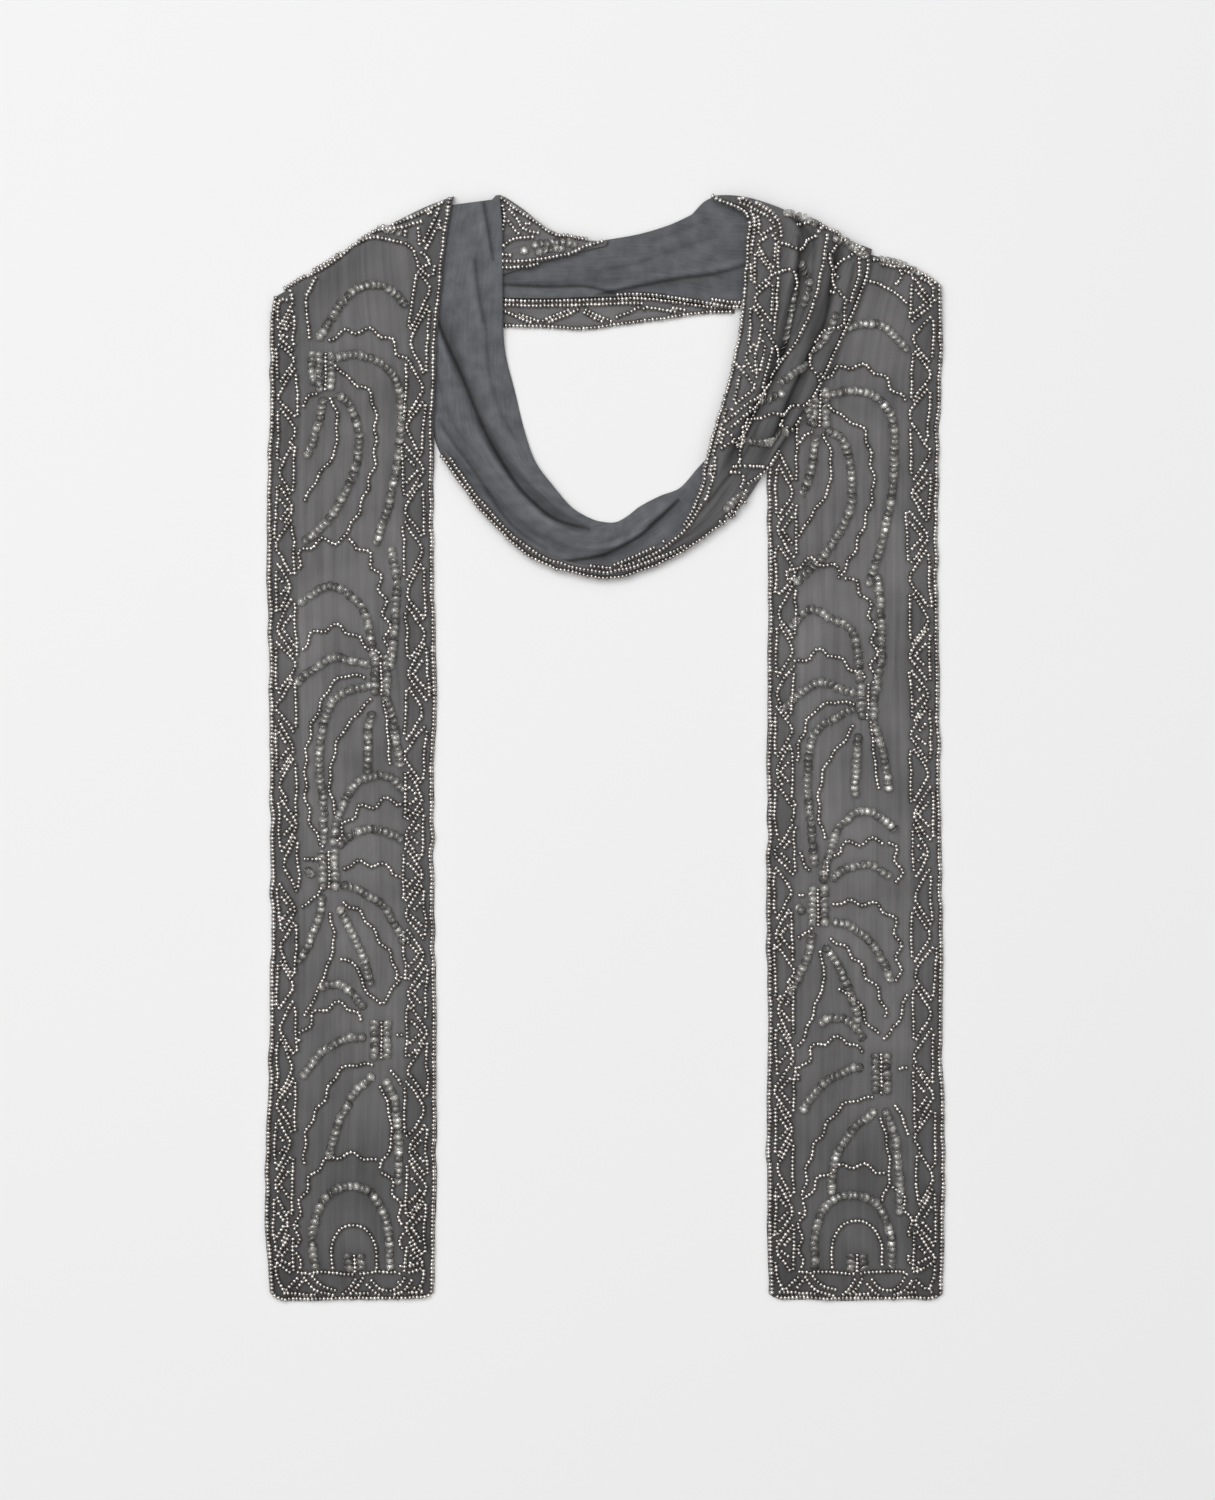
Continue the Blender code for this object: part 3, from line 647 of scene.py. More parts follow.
def put(name, points, faces, material, uv=None):
    """A smooth mesh object at the origin from arrays in mm, with a map for its corners if one is given."""
    mesh = bpy.data.meshes.new(name)
    faces = np.asarray(faces, np.int32)
    mesh.vertices.add(len(points))
    mesh.vertices.foreach_set("co", (np.asarray(points, np.float32) * MM).ravel())
    mesh.loops.add(faces.size)
    mesh.loops.foreach_set("vertex_index", faces.ravel())
    mesh.polygons.add(len(faces))
    mesh.polygons.foreach_set("loop_start", np.arange(len(faces), dtype=np.int32) * faces.shape[1])
    mesh.update(calc_edges=True)
    mesh.validate()
    mesh.shade_smooth()
    if uv is not None:
        layer = mesh.uv_layers.new(name="strip")
        layer.data.foreach_set("uv", uv[faces.ravel()].astype(np.float32).ravel())
    mesh.materials.append(material)
    made = bpy.data.objects.new(name, mesh)
    bpy.context.scene.collection.objects.link(made)
    return made


def paint(made, name, values):
    """A value for each point of a mesh, under a name that its material reads."""
    layer = made.data.attributes.new(name, "FLOAT", "POINT")
    layer.data.foreach_set("value", np.asarray(values, np.float32).ravel())


def painted_light(stretch, s, u, base):
    """The base, less the dark of creases and of folds' troughs. A tail's ends and borders are darker too."""
    width = stretch.width(s)
    light = base * (1 - FOLD_SHADE * np.clip(-crease(stretch.folds, s, u, width), 0, 3))
    if stretch.creases:
        light = light * (1 - press(stretch.creases, stretch.at(s, u)[..., 0:2])[1])
    if stretch.ragged:
        shares, lights = np.array(TAIL_LIGHT).T
        light = light * np.interp(np.interp(s, stretch.fine, stretch.run) / stretch.length, shares, lights)
        edge = np.minimum(u, 1 - u) * width
        light = light * (1 - BORDER_SHADE * np.clip((BORDER_WIDTH + 4 - edge) / 4, 0, 1))
    return light


def lay_cloth(stretch, material, node, fine_step, base=1.0):
    """The fine cloth of one stretch: even steps of about fine_step mm, closer where an end is rolled."""
    rows = max(12, int(stretch.length / fine_step))
    columns = max(6, int(stretch.widths.max() / fine_step))
    sections = np.interp(np.linspace(0, stretch.length, rows), stretch.run, stretch.fine)
    if stretch.roll[0]:
        sections = np.concatenate([[0], ROLL_STEPS, sections[sections > ROLL_END]])
    if stretch.roll[1]:
        body = sections[sections < stretch.last - ROLL_END]
        sections = np.concatenate([body, stretch.last - ROLL_STEPS[::-1], [stretch.last]])
    s, u = np.meshgrid(sections, np.linspace(0, 1, columns), indexing="ij")
    points = stretch.at(s, u).reshape(-1, 3)
    along_strip = np.interp(s, stretch.fine, stretch.run)
    uv = np.stack([u * stretch.width(s), along_strip], axis=-1).reshape(-1, 2) * MM
    faces = grid_faces(len(sections), columns)
    a, b, c = (points[faces[:, k]] for k in (0, 1, 3))
    if np.cross(b - a, c - a)[:, 2].sum() < 0:
        faces = faces[:, ::-1]
    made = put(node + "_cloth", points, faces, material, uv)
    paint(made, "light", painted_light(stretch, s, u, base))
    wall = made.modifiers.new("gauze thickness", "SOLIDIFY")
    wall.thickness = CLOTH * MM
    wall.offset = -1.0
    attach(made, "root")
    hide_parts(node)
    print(made.name, len(faces), "faces")
    return made


cloths = {
    "left_tail": lay_cloth(left_tail, FACE_GAUZE, "left_tail", 2.4),
    "right_tail": lay_cloth(right_tail, FACE_GAUZE, "right_tail", 2.4),
    # the last number is a painted light for the whole piece: both reverses are painted darker, as painted
    # shade, the neck band's most
    "loop_reverse": lay_cloth(loop_reverse, REVERSE_GAUZE, "loop_reverse", 0.9, 0.94),
    "loop_face": lay_cloth(loop_face, SHADED_ARM_GAUZE, "loop_face", 1.5),
    "neck_reverse": lay_cloth(neck_reverse, REVERSE_GAUZE, "neck_reverse", 1.0, 0.86),
    "neck_border": lay_cloth(neck_border, FACE_GAUZE, "neck_border", 2.2),
    "neck_fold": lay_cloth(neck_fold, FACE_GAUZE, "neck_fold", 2.2),
}

# %% [markdown]
# Under the left tail's top and the left arm lie layers that were turned under. They hardly show, so they
# are one rounded form with a groove round its edge, where the two layers of cloth part.

# %% Turned-under layers


def turned_under(rows, steps):
    """Rings round the layers: flat below, with two rounded layers at each edge, and flat on top."""
    read = along(rows, np.linspace(0, len(rows) - 1, steps))
    outer, inner, thick = read[:, None, 0:2], read[:, None, 2:4], read[:, None, 4]
    turn = np.linspace(-0.5, 0.5, 9)[1:-1] * np.pi
    layer = np.stack([1.0 - np.cos(turn), 0.25 + 0.25 * np.sin(turn)], axis=1)
    rim = np.vstack([[(1.6, 0.0)], layer, layer + (0.4, 0.5), [(3.0, 1.0)]])
    stand_in, share = np.concatenate([rim[:, 0], rim[::-1, 0]]), np.concatenate([rim[:, 1], rim[::-1, 1]])
    far = np.concatenate([np.ones(len(rim)), np.zeros(len(rim))])
    way = (inner - outer) / np.linalg.norm(inner - outer, axis=-1, keepdims=True)
    back = (stand_in * np.where(far > 0, -1, 1))[None, :, None]
    plan = outer + (inner - outer) * far[None, :, None] + way * back
    return np.concatenate([plan, (share[None] * thick)[..., None]], axis=-1)


rings = turned_under(HIDDEN_LAYERS, 60)
count, size = rings.shape[:2]
faces = grid_faces(count, size + 1)
row, column = np.divmod(faces, size + 1)
faces = row * size + column % size
ends = [np.arange(size)[::-1], (count - 1) * size + np.arange(size)]
mesh = bpy.data.meshes.new("turned_under_cloth")
mesh.from_pydata((rings.reshape(-1, 3) * MM).tolist(), [], faces.tolist() + [e.tolist() for e in ends])
mesh.validate()
mesh.shade_smooth()
mesh.materials.append(REVERSE_GAUZE)
under = bpy.data.objects.new("turned_under_cloth", mesh)
bpy.context.scene.collection.objects.link(under)
map_layer = mesh.uv_layers.new(name="strip")
corner_points = rings.reshape(-1, 3)[[v for polygon in mesh.polygons for v in polygon.vertices]]
map_layer.data.foreach_set("uv", (corner_points[:, [1, 0]] * MM).astype(np.float32).ravel())
paint(under, "light", np.ones(count * size))
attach(under, "root")
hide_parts("hidden_layers")
print("turned-under layers:", len(mesh.polygons), "faces")

# %% [markdown]
# Beads and sequins. A seed bead is a short fat ring with its hole along the thread; a sequin is a shallow
# dish. Thousands are needed, so each shape has only a few dozen faces, and all those on one stretch are one
# mesh, made by turning and moving the shape's points with whole arrays. Each carries a random tone of its
# own.

# %% Bead and sequin shapes
BEAD = 2.8            # bead's diameter
BEAD_PITCH = 2.10     # from one bead to the next on a thread
SEQUIN = 5.3
SEQUIN_PITCH = 3.0
BEAD_SIDES = 8
SEQUIN_SIDES = 10
# share of the sequin's radius at which the dish turns up, then heights of its points
DISH_TURN = 0.60
DISH_MIDDLE, DISH_RING, DISH_RIM, DISH_UNDER = 0.05, 0.08, 0.42, -0.08


def ring_of(radius, x, sides):
    """A ring of points round the x axis."""
    turn = np.arange(sides) * 2 * np.pi / sides
    return np.stack([np.full(sides, x), radius * np.cos(turn), radius * np.sin(turn)], axis=1)


def band_faces(rings, sides):
    """Triangles between rings that are numbered one after another."""
    i = np.arange(sides)
    j = (i + 1) % sides
    bands = []
    for k in range(rings - 1):
        here, there = k * sides, (k + 1) * sides
        bands.append(np.stack([here + i, there + i, there + j], 1))
        bands.append(np.stack([here + i, there + j, here + j], 1))
    return np.concatenate(bands)


def bead_shape():
    """Five rings along the thread, on an arc from end to waist to end, with the ends closed by fans."""
    profile = [(-0.92, 0.46), (-0.56, 0.87), (0.0, 1.0), (0.56, 0.87), (0.92, 0.46)]
    points = np.vstack([ring_of(share * BEAD / 2, x, BEAD_SIDES) for x, share in profile])
    fan = np.arange(1, BEAD_SIDES - 1)
    near = np.stack([np.zeros_like(fan), fan, fan + 1], 1)
    far = np.stack([np.zeros_like(fan), fan + 1, fan], 1) + 4 * BEAD_SIDES
    return points, np.concatenate([band_faces(5, BEAD_SIDES), near, far])


def sequin_shape():
    """A dish with a raised rim: a middle point, an inner ring, the rim, and a point below that closes it."""
    inner = ring_of(DISH_TURN * SEQUIN / 2, DISH_RING, SEQUIN_SIDES)
    edge = ring_of(SEQUIN / 2, DISH_RIM, SEQUIN_SIDES)
    points = np.vstack([inner[:, [1, 2, 0]], edge[:, [1, 2, 0]], [(0, 0, DISH_MIDDLE), (0, 0, DISH_UNDER)]])
    i = np.arange(SEQUIN_SIDES)
    j = (i + 1) % SEQUIN_SIDES
    top = np.stack([np.full(SEQUIN_SIDES, 2 * SEQUIN_SIDES), i, j], 1)
    below = np.stack([np.full(SEQUIN_SIDES, 2 * SEQUIN_SIDES + 1), SEQUIN_SIDES + j, SEQUIN_SIDES + i], 1)
    return points, np.concatenate([top, band_faces(2, SEQUIN_SIDES), below])


BEAD_SHAPE, SEQUIN_SHAPE = bead_shape(), sequin_shape()
print("bead", len(BEAD_SHAPE[1]), "triangles, sequin", len(SEQUIN_SHAPE[1]))

# %% [markdown]
# Bead glass and sequin film. The beads are glass with a metal coat, each a little lighter or darker than
# the next. The sequins are thin film that the cloth shows through, with a hard shine.

# %% Bead and sequin materials


def toned(name, dark, light, metallic, roughness):
    """A material whose colour runs from dark to light by each bead's own tone."""
    made = bpy.data.materials.new(name)
    made.use_nodes = True
    tree = made.node_tree
    shader = tree.nodes["Principled BSDF"]
    shader.inputs["Metallic"].default_value = metallic
    shader.inputs["Roughness"].default_value = roughness
    tone = add(tree, "ShaderNodeAttribute", attribute_name="tone")
    ramp = add(tree, "ShaderNodeValToRGB")
    ramp.color_ramp.elements[0].color = (*dark, 1)
    ramp.color_ramp.elements[1].color = (*light, 1)
    tree.links.new(tone.outputs["Fac"], ramp.inputs["Fac"])
    tree.links.new(ramp.outputs["Color"], shader.inputs["Base Color"])
    return made


BEAD_METAL = toned("bead_metal", (0.34, 0.32, 0.30), (0.92, 0.885, 0.85), 1.0, 0.16)
SEQUIN_FILM = toned("sequin_film", (0.25, 0.245, 0.235), (0.95, 0.93, 0.88), 0.55, 0.14)
film = SEQUIN_FILM.node_tree.nodes["Principled BSDF"]
film.inputs["Coat Weight"].default_value = 0.6
film.inputs["Alpha"].default_value = 0.5
print("materials:", BEAD_METAL.name, SEQUIN_FILM.name)

# %% [markdown]
# Sewing along a thread. A thread is drawn as a few places on the strip, smoothed into a curve, and then
# walked at the beads' pitch on the cloth itself, so the beads follow every fold and stand on the cloth's
# own slope. A scalloped thread swings from side to side in small pointed waves.

# %% Threads
SCALLOP_WAVE = 13.5
EDGE_MARGIN = {"bead": 0.5, "sequin": 1.8}     # nearest that a piece's centre comes to the cloth's edge


def waver(length, step, size, seed):
    """A slow random sideways wander of up to size, new about every step millimetres."""
    return size * soft_noise(np.asarray(length) / step + 3, 0.5, seed)


def pointed_wave(length):
    """A wave between a sine and a triangle: 0.5 * sin(a) + 0.5 * (2 / pi) * asin(sin(a))."""
    swing = np.sin(2 * np.pi * length / SCALLOP_WAVE)
    return 0.5 * swing + np.arcsin(swing) / np.pi


class Threads:
    """The beads and sequins of one stretch. Each call walks one thread and keeps where its pieces go."""

    def __init__(self, stretch, hidden=None):
        self.stretch, self.hidden, self.found = stretch, hidden, {"bead": [], "sequin": []}
        self.seed = 1000 * stretch.seed

    def add(self, kind, section, across, scallop=0.0, unevenness=0.3):
        """Walks a thread given as sections and places across. scallop is the height of its waves."""
        stretch, margin = self.stretch, EDGE_MARGIN[kind]
        self.seed += 1
        section = np.clip(section, 0, stretch.last)
        ground = stretch.at(section, np.clip(across, 0, 1))
        run = np.concatenate([[0], np.cumsum(np.linalg.norm(np.diff(ground, axis=0), axis=1))])
        if run[-1] < 3:
            return
        fine = np.linspace(0, run[-1], max(int(run[-1] / 0.4), 8))
        s, u = np.interp(fine, run, section), np.interp(fine, run, across)
        up, side = np.interp(s, stretch.fine, stretch.run), u * stretch.width(s)
        step = np.stack([np.gradient(up), np.gradient(side)], axis=1)
        step /= np.linalg.norm(step, axis=1, keepdims=True) + 1e-9
        wander = waver(fine, 6.0, unevenness, self.seed)
        if scallop:
            wander = wander + scallop * pointed_wave(fine) * np.clip(fine / 6, 0, 1)
        up, side = up - step[:, 1] * wander, side + step[:, 0] * wander
        s = np.interp(up, stretch.run, stretch.fine)
        width = stretch.width(s)
        u = np.clip(side, margin, np.maximum(width - margin, margin)) / width
        line = stretch.at(s, u)
        run = np.concatenate([[0], np.cumsum(np.linalg.norm(np.diff(line, axis=0), axis=1))])
        pitch = BEAD_PITCH if kind == "bead" else SEQUIN_PITCH
        places = np.arange(pitch / 2, run[-1] - pitch / 4, pitch)
        if not len(places):
            return
        read = lambda where: np.stack([np.interp(where, run, line[:, k]) for k in range(3)], axis=1)
        centre, ahead = read(places), read(places + 0.4) - read(places - 0.4)
        ahead /= np.linalg.norm(ahead, axis=1, keepdims=True) + 1e-9
        normal = stretch.normal(np.interp(places, run, s), np.interp(places, run, u))
        keep = np.ones(len(places), bool) if self.hidden is None else ~self.hidden(centre[:, :2])
        self.found[kind].append((centre[keep], ahead[keep], normal[keep]))

    def strip(self, kind, places, **more):
        """The same for a thread given in millimetres along the strip and in from its outer edge."""
        line = curve_through(places)
        self.add(kind, *self.stretch.on_strip(line[:, 0], line[:, 1]), **more)

    def plan(self, kind, places, **more):
        """The same for a thread given as places in plan."""
        line = curve_through(places, 0.34)
        section, across = self.stretch.find(line)
        self.add(kind, section, across, **more)

    def gather(self, kind):
        return [np.concatenate([part[k] for part in self.found[kind]]) for k in range(3)]


print("scallops:", SCALLOP_WAVE, "mm from one to the next")

# %% [markdown]
# Seating the pieces. A bead rests on the cloth with its hole along the thread. Sequins are strung like
# coins, so they lie aslant, each leaning on the next, and no two lean quite alike: that is what makes them
# glint.

# %% Seats
CLEAR = {"bead": 1.85, "sequin": 2.1}     # least distance between two pieces of one kind
BEAD_SUNK = 0.15                          # how far a bead sinks into the cloth
SEQUIN_LIFT = 1.25                        # a leaning sequin's middle above the cloth
SEQUIN_TIP, SEQUIN_SPREAD = 25, 15        # how far one tips forward on average, and the spread, in degrees
SEQUIN_LEAN, SEQUIN_YAW = 13, 14          # spread of its lean to a side and of its turn, in degrees
LOWEST = {"bead": BEAD / 2, "sequin": 2.2}     # least height of a piece's middle above the table
sewn_places = {}


def not_crowded(node, kind, centres):
    """True for the pieces that stand clear of those before them: threads cross, beads do not."""
    taken = sewn_places.get((node, kind), np.empty((0, 3)))
    known = np.vstack([taken, centres])
    keep = np.ones(len(known), bool)
    for k in range(len(taken), len(known)):
        keep[k] = not (keep[:k] & (((known[:k] - known[k]) ** 2).sum(axis=1) < CLEAR[kind] ** 2)).any()
    sewn_places[node, kind] = known[keep]
    return keep[len(taken):]


def sew(name, shape, centres, forward, up, material, seed, tones=(0.0, 1.0)):
    """One mesh of many: each point is centre + x * forward + y * sideways + z * up."""
    rng = np.random.default_rng(seed)
    side = np.cross(up, forward)
    side /= np.linalg.norm(side, axis=1, keepdims=True)
    up = np.cross(forward, side)
    turned = np.stack([forward, side, up], axis=1)
    scale = rng.normal(1.0, 0.04, len(centres))[:, None, None]
    points = (centres[:, None, :] + np.einsum("vk,nkj->nvj", shape[0], turned) * scale).reshape(-1, 3)
    faces = (shape[1][None] + (np.arange(len(centres)) * len(shape[0]))[:, None, None]).reshape(-1, 3)
    made = put(name, points, faces, material)
    paint(made, "tone", np.repeat(rng.uniform(*tones, len(centres)), len(shape[0])))
    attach(made, "root")
    print(name, len(centres), "pieces,", len(faces), "triangles")


def unit(vectors):
    return vectors / np.linalg.norm(vectors, axis=1, keepdims=True)


def seat(threads, kind, name, node, seed, tones=(0.0, 1.0)):
    """Sews on what a set of threads found: beads along their threads, sequins tipped onto one another.

    No middle comes nearer to the table than LOWEST. Beads barely dip below it, and the steepest sequins by
    about half a millimetre.
    """
    found = threads.gather(kind)
    keep = not_crowded(node, kind, found[0])
    centre, ahead, normal = (values[keep] for values in found)
    rng = np.random.default_rng(seed)
    if kind == "bead":
        centre = centre + normal * (BEAD / 2 - BEAD_SUNK) + rng.normal(0, 0.07, centre.shape)
        centre[:, 2] = np.maximum(centre[:, 2], LOWEST[kind])
        ahead = unit(ahead + rng.normal(0, 0.10, ahead.shape))
        sew(name, BEAD_SHAPE, centre, ahead, normal, BEAD_METAL, seed, tones)
        return
    side = unit(np.cross(normal, ahead))
    flat = np.cross(side, normal)
    tip = np.radians(rng.normal(SEQUIN_TIP, SEQUIN_SPREAD, len(centre)))[:, None]
    lean = np.radians(rng.normal(0, SEQUIN_LEAN, len(centre)))[:, None]
    yaw = np.radians(rng.normal(0, SEQUIN_YAW, len(centre)))[:, None]
    flat = flat * np.cos(yaw) + side * np.sin(yaw)
    forward = flat * np.cos(tip) + normal * np.sin(tip)
    up = unit(normal * np.cos(tip) - flat * np.sin(tip) + side * np.sin(lean))
    forward = unit(np.cross(np.cross(up, forward), up))
    centre = centre + normal * SEQUIN_LIFT + rng.normal(0, 0.15, centre.shape)
    centre[:, 2] = np.maximum(centre[:, 2], LOWEST[kind])
    sew(name, SEQUIN_SHAPE, centre, forward, up, SEQUIN_FILM, seed, tones)


print("a bead stands", BEAD - BEAD_SUNK, "mm above the cloth")

# %% [markdown]
# The tails' border is the kind found on much old beadwork: a bead line on the edge, and beside it two rows
# of closed triangles that fit into each other, one row standing on the outer side and one on the inner.

# %% Border of triangles
EDGE_LINE = 1.5
SIDE_OUT, SIDE_IN = 4.8, 15.4     # how far in from the edge the triangles stand
TRIANGLE = 43.0                   # from one triangle to the next in its row
HALF_BASE = 16.5
NESTED = 0.40                     # share of the triangles whose slanted sides are doubled inside
DENSE_BELOW = 62.0                # near the hem every triangle has them doubled
SLANT_SCALE = 0.54                # size of the doubled slants beside the triangle's own
CORNER_CUT = 1.9
FIRST_UP = 14.0                   # no corner of a triangle comes nearer to the hem
SPARE_TOP = 12.0                  # the first triangle of a pair has its middle this far below the top or more
LEFT_OPEN_TOP = 22.0              # the left tail's inner border stops this much sooner, at the fold
PAST_STOP = 8.0                   # how far a triangle may reach past the place where its border stops
FIRST_MIDDLE = (14, 30)           # least and greatest height of the first triangle's middle
BASE_SHARE, STEP_SHARE = (0.92, 1.06), (0.96, 1.04)     # how unevenly they are sewn
DEEPER = {False: 0.94, True: 1.06}     # the inner border's triangles are a little deeper than the outer's


def cut_corners(corners, cut):
    """A closed outline through the corners, with each corner cut off at that distance from it."""
    corners = np.array(corners, float)
    before, after = np.roll(corners, 1, axis=0), np.roll(corners, -1, axis=0)
    toward = lambda other: corners + unit(other - corners) * cut
    ring = np.stack([toward(before), toward(after)], axis=1).reshape(-1, 2)
    return np.vstack([ring[1:], ring[:2]])


def border(threads, from_inner, deeper, seed, open_top=0.0):
    """The edge line and the two rows of triangles, in places along the strip and in from one edge."""
    rng = np.random.default_rng(seed)
    stretch = threads.stretch

    def line(places, **more):
        section = np.interp(places[:, 0], stretch.run, stretch.fine)
        share = places[:, 1] / stretch.width(section)
        threads.add("bead", section, 1 - share if from_inner else share, **more)

    ups = np.linspace(1.2, stretch.length - 0.8, 60)
    line(np.stack([ups, np.full(60, EDGE_LINE)], 1), unevenness=0.4)
    at = rng.uniform(*FIRST_MIDDLE)
    stop = stretch.length - SPARE_TOP - open_top
    while at < stop:
        for middle, base, point in ((at, SIDE_IN, SIDE_OUT), (at + TRIANGLE / 2, SIDE_OUT, SIDE_IN)):
            half = HALF_BASE * rng.uniform(*BASE_SHARE)
            corners = np.array([(middle - half, base), (middle, point), (middle + half, base)])
            corners = corners * (1, deeper) + rng.normal(0, 0.7, (3, 2))
            corners[:, 0] = np.clip(corners[:, 0], FIRST_UP, stop + PAST_STOP)
            line(cut_corners(corners, CORNER_CUT), unevenness=0.7)
            if at < DENSE_BELOW or rng.uniform() < NESTED:
                slants = corners.mean(axis=0) + (corners - corners.mean(axis=0)) * SLANT_SCALE
                slants[[0, 2], 1] = base * deeper
                line(slants)
        at += TRIANGLE * rng.uniform(*STEP_SHARE)


def outline(stretch, inset):
    """The stretch's outline in plan, drawn in by a share of its width."""
    s = np.linspace(0, stretch.last, 80)
    a = stretch.at(s, np.full(80, inset))[:, :2]
    b = stretch.at(s, np.full(80, 1 - inset))[:, :2]
    return np.vstack([a, b[::-1]])


def inside(points, ring):
    """Even-odd test of points against an outline, as whole arrays over the points."""
    x, y = points[:, 0], points[:, 1]
    found = np.zeros(len(points), bool)
    for (ax, ay), (bx, by) in zip(ring, np.roll(ring, -1, axis=0)):
        crosses = (ay > y) != (by > y)
        found ^= crosses & (x < (bx - ax) * (y - ay) / (by - ay + 1e-12) + ax)
    return found


ARM_OUTLINE = outline(loop_face, 0.01)
LEFT_ARM_OUTLINE = outline(loop_reverse, 0.02)
under_face_arm = lambda points: inside(points, ARM_OUTLINE)
under_left_arm = lambda points: inside(points, LEFT_ARM_OUTLINE)
tails = {"left_tail": (left_tail, None), "right_tail": (right_tail, under_face_arm)}
for k, (name, (stretch, hidden)) in enumerate(tails.items()):
    for from_inner, where in ((False, "left"), (True, "right")):
        edge = Threads(stretch, hidden)
        open_top = LEFT_OPEN_TOP if from_inner and name == "left_tail" else 0.0
        border(edge, from_inner, DEEPER[from_inner], 70 + 2 * k + from_inner, open_top)
        seat(edge, "bead", f"{name}_{where}_border_beads", name, 31 + 2 * k + from_inner)

# %% [markdown]
# Fountains of leaves. Between the borders stand sprays that spring by turns from one side and the other.
# Each is charted as a maker would on squared paper: a row for each leaf, with a few places in whole
# millimetres across and up from the spray's foot. A leaf is a row of sequins or a line of beads, plain or
# scalloped. No two sprays were sewn quite alike, so every use shifts the places a little.

# %% Charts of leaves
# kind, scallop, then places across and up from the foot
TOP_SPRAY = [
    ("sequin", 0, (-4, 28), (2, 39), (10, 50), (21, 56), (34, 55), (46, 44)),
    ("bead", 1.8, (2, 27), (14, 33), (30, 31), (40, 22), (46, 14)),
    ("sequin", 0, (5, 18), (19, 20), (32, 14), (40, 0), (40, -30), (34, -60), (27, -84)),
    ("bead", 0.9, (5, 13), (14, 6), (24, 0), (28, -16), (27, -38), (18, -66), (9, -81)),
    ("sequin", 0, (4, -2), (13, -6), (17, -22), (16, -44), (2, -68), (-13, -83)),
    ("bead", 0.5, (2, -3), (6, -14), (5, -32), (-3, -44), (-13, -60)),
    ("sequin", 0, (-1, -4), (-4, -16), (-6, -27), (-11, -37)),
    ("bead", 0, (-3, -2), (-8, -3), (-12, -9)),
    ("sequin", 0, (-6, 2), (-7, 12), (-6, 22)),
]
ARCH_SPRAY = [
    ("bead", 2.0, (-3, 22), (-3, 44), (2, 66), (12, 80), (28, 85), (41, 80), (46, 68)),
    ("sequin", 0, (4, 22), (5, 38), (10, 49), (20, 56), (32, 60), (46, 48)),
    ("sequin", 0, (-5, 16), (-8, 36), (-8, 60), (-6, 80)),
    ("bead", 1.8, (0, 22), (10, 29), (22, 37), (34, 34), (45, 26)),
    ("sequin", 0, (6, 16), (16, 20), (26, 21), (36, 16), (45, 7)),
    ("bead", 0.9, (8, 9), (20, 11), (31, 2), (40, -24), (41, -50), (36, -70), (31, -81)),
    ("sequin", 0, (5, 5), (18, 2), (29, -8), (33, -30), (31, -56), (30, -80)),
    ("bead", 0.6, (6, 0), (14, -10), (23, -24), (27, -46), (24, -65)),
    ("sequin", 0, (5, -7), (7, -22), (7, -41)),
    ("bead", 0.3, (0, -1), (-4, -14), (-6, -38)),
    ("sequin", 0, (-3, 0), (-7, -8), (-9, -23), (-11, -39)),
]
FALLING_SPRAY = [
    ("sequin", 0, (3, 24), (5, 40), (12, 54), (22, 61), (34, 60), (42, 52)),
    ("bead", 2.0, (3, 27), (12, 41), (28, 47), (38, 47), (43, 34), (43, 21)),
    ("sequin", 0, (6, 25), (14, 31), (26, 33), (39, 27)),
    ("bead", 1.8, (7, 12), (18, 14), (30, 12), (40, 5), (43, -10), (43, -29)),
    ("sequin", 0, (7, 3), (17, -1), (28, -9), (36, -20), (41, -30)),
    ("bead", 1.2, (8, -6), (18, -13), (27, -26), (34, -37), (36, -50)),
    ("sequin", 0, (5, -10), (12, -24), (19, -40), (23, -53)),
    ("bead", 0.4, (1, -12), (3, -28), (-1, -42), (-8, -57), (-13, -67)),
    ("sequin", 0, (-3, -3), (-5, -15), (-10, -27), (-16, -40)),
    ("bead", 0, (-3, 0), (-9, -5), (-15, -10)),
    ("bead", 0, (-3, 17), (-14, 16)),
    ("sequin", 0, (-8, 8), (-12, 11)),
]
# a shortened leaf has its last place twice
LOW_SPRAY = [
    ("sequin", 0, (9, 29), (16, 38), (25, 41), (34, 38)),
    ("bead", 1.8, (9, 21), (20, 30), (34, 26), (42, 15), (46, 7)),
    ("bead", 0.6, (0, 31), (8, 39), (12, 49), (23, 56)),
    ("bead", 0.6, (-1, 30), (-8, 38), (-15, 55)),
    ("sequin", 0, (10, 13), (20, 12), (33, 4), (43, -10)),
    ("bead", 0.9, (4, -2), (20, -6), (32, -20), (40, -38), (42, -57)),
    ("sequin", 0, (3, -9), (15, -18), (24, -34), (26, -52), (26, -52)),
    ("bead", 0.5, (0, -12), (-5, -28), (-4, -46), (0, -57), (-2, -58)),
    ("sequin", 0, (-3, -10), (-7, -24), (-10, -46), (-10, -66)),
    ("bead", 0, (-6, -5), (-12, -13), (-15, -24)),
    ("bead", 0, (-8, 14), (-16, 14)),
]
# tail, chart, foot above the hem, foot in from the left edge, which way the leaves reach
SPRAYS = [
    ("left_tail", TOP_SPRAY, 491, 31, 1),
    ("left_tail", ARCH_SPRAY, 326, 61, -1),
    ("left_tail", FALLING_SPRAY, 222, 33, 1),
    ("left_tail", LOW_SPRAY, 130, 61, -1),
    ("right_tail", TOP_SPRAY, 471, 28, 1),
    ("right_tail", ARCH_SPRAY, 313, 54, -1),
    ("right_tail", FALLING_SPRAY, 202, 27, 1),
    ("right_tail", LOW_SPRAY, 112, 61, -1),
]
STEM = 22.0
LEFT_EDGE = {"left_tail": -182.0, "right_tail": 87.8}     # the tails' left edges in plan


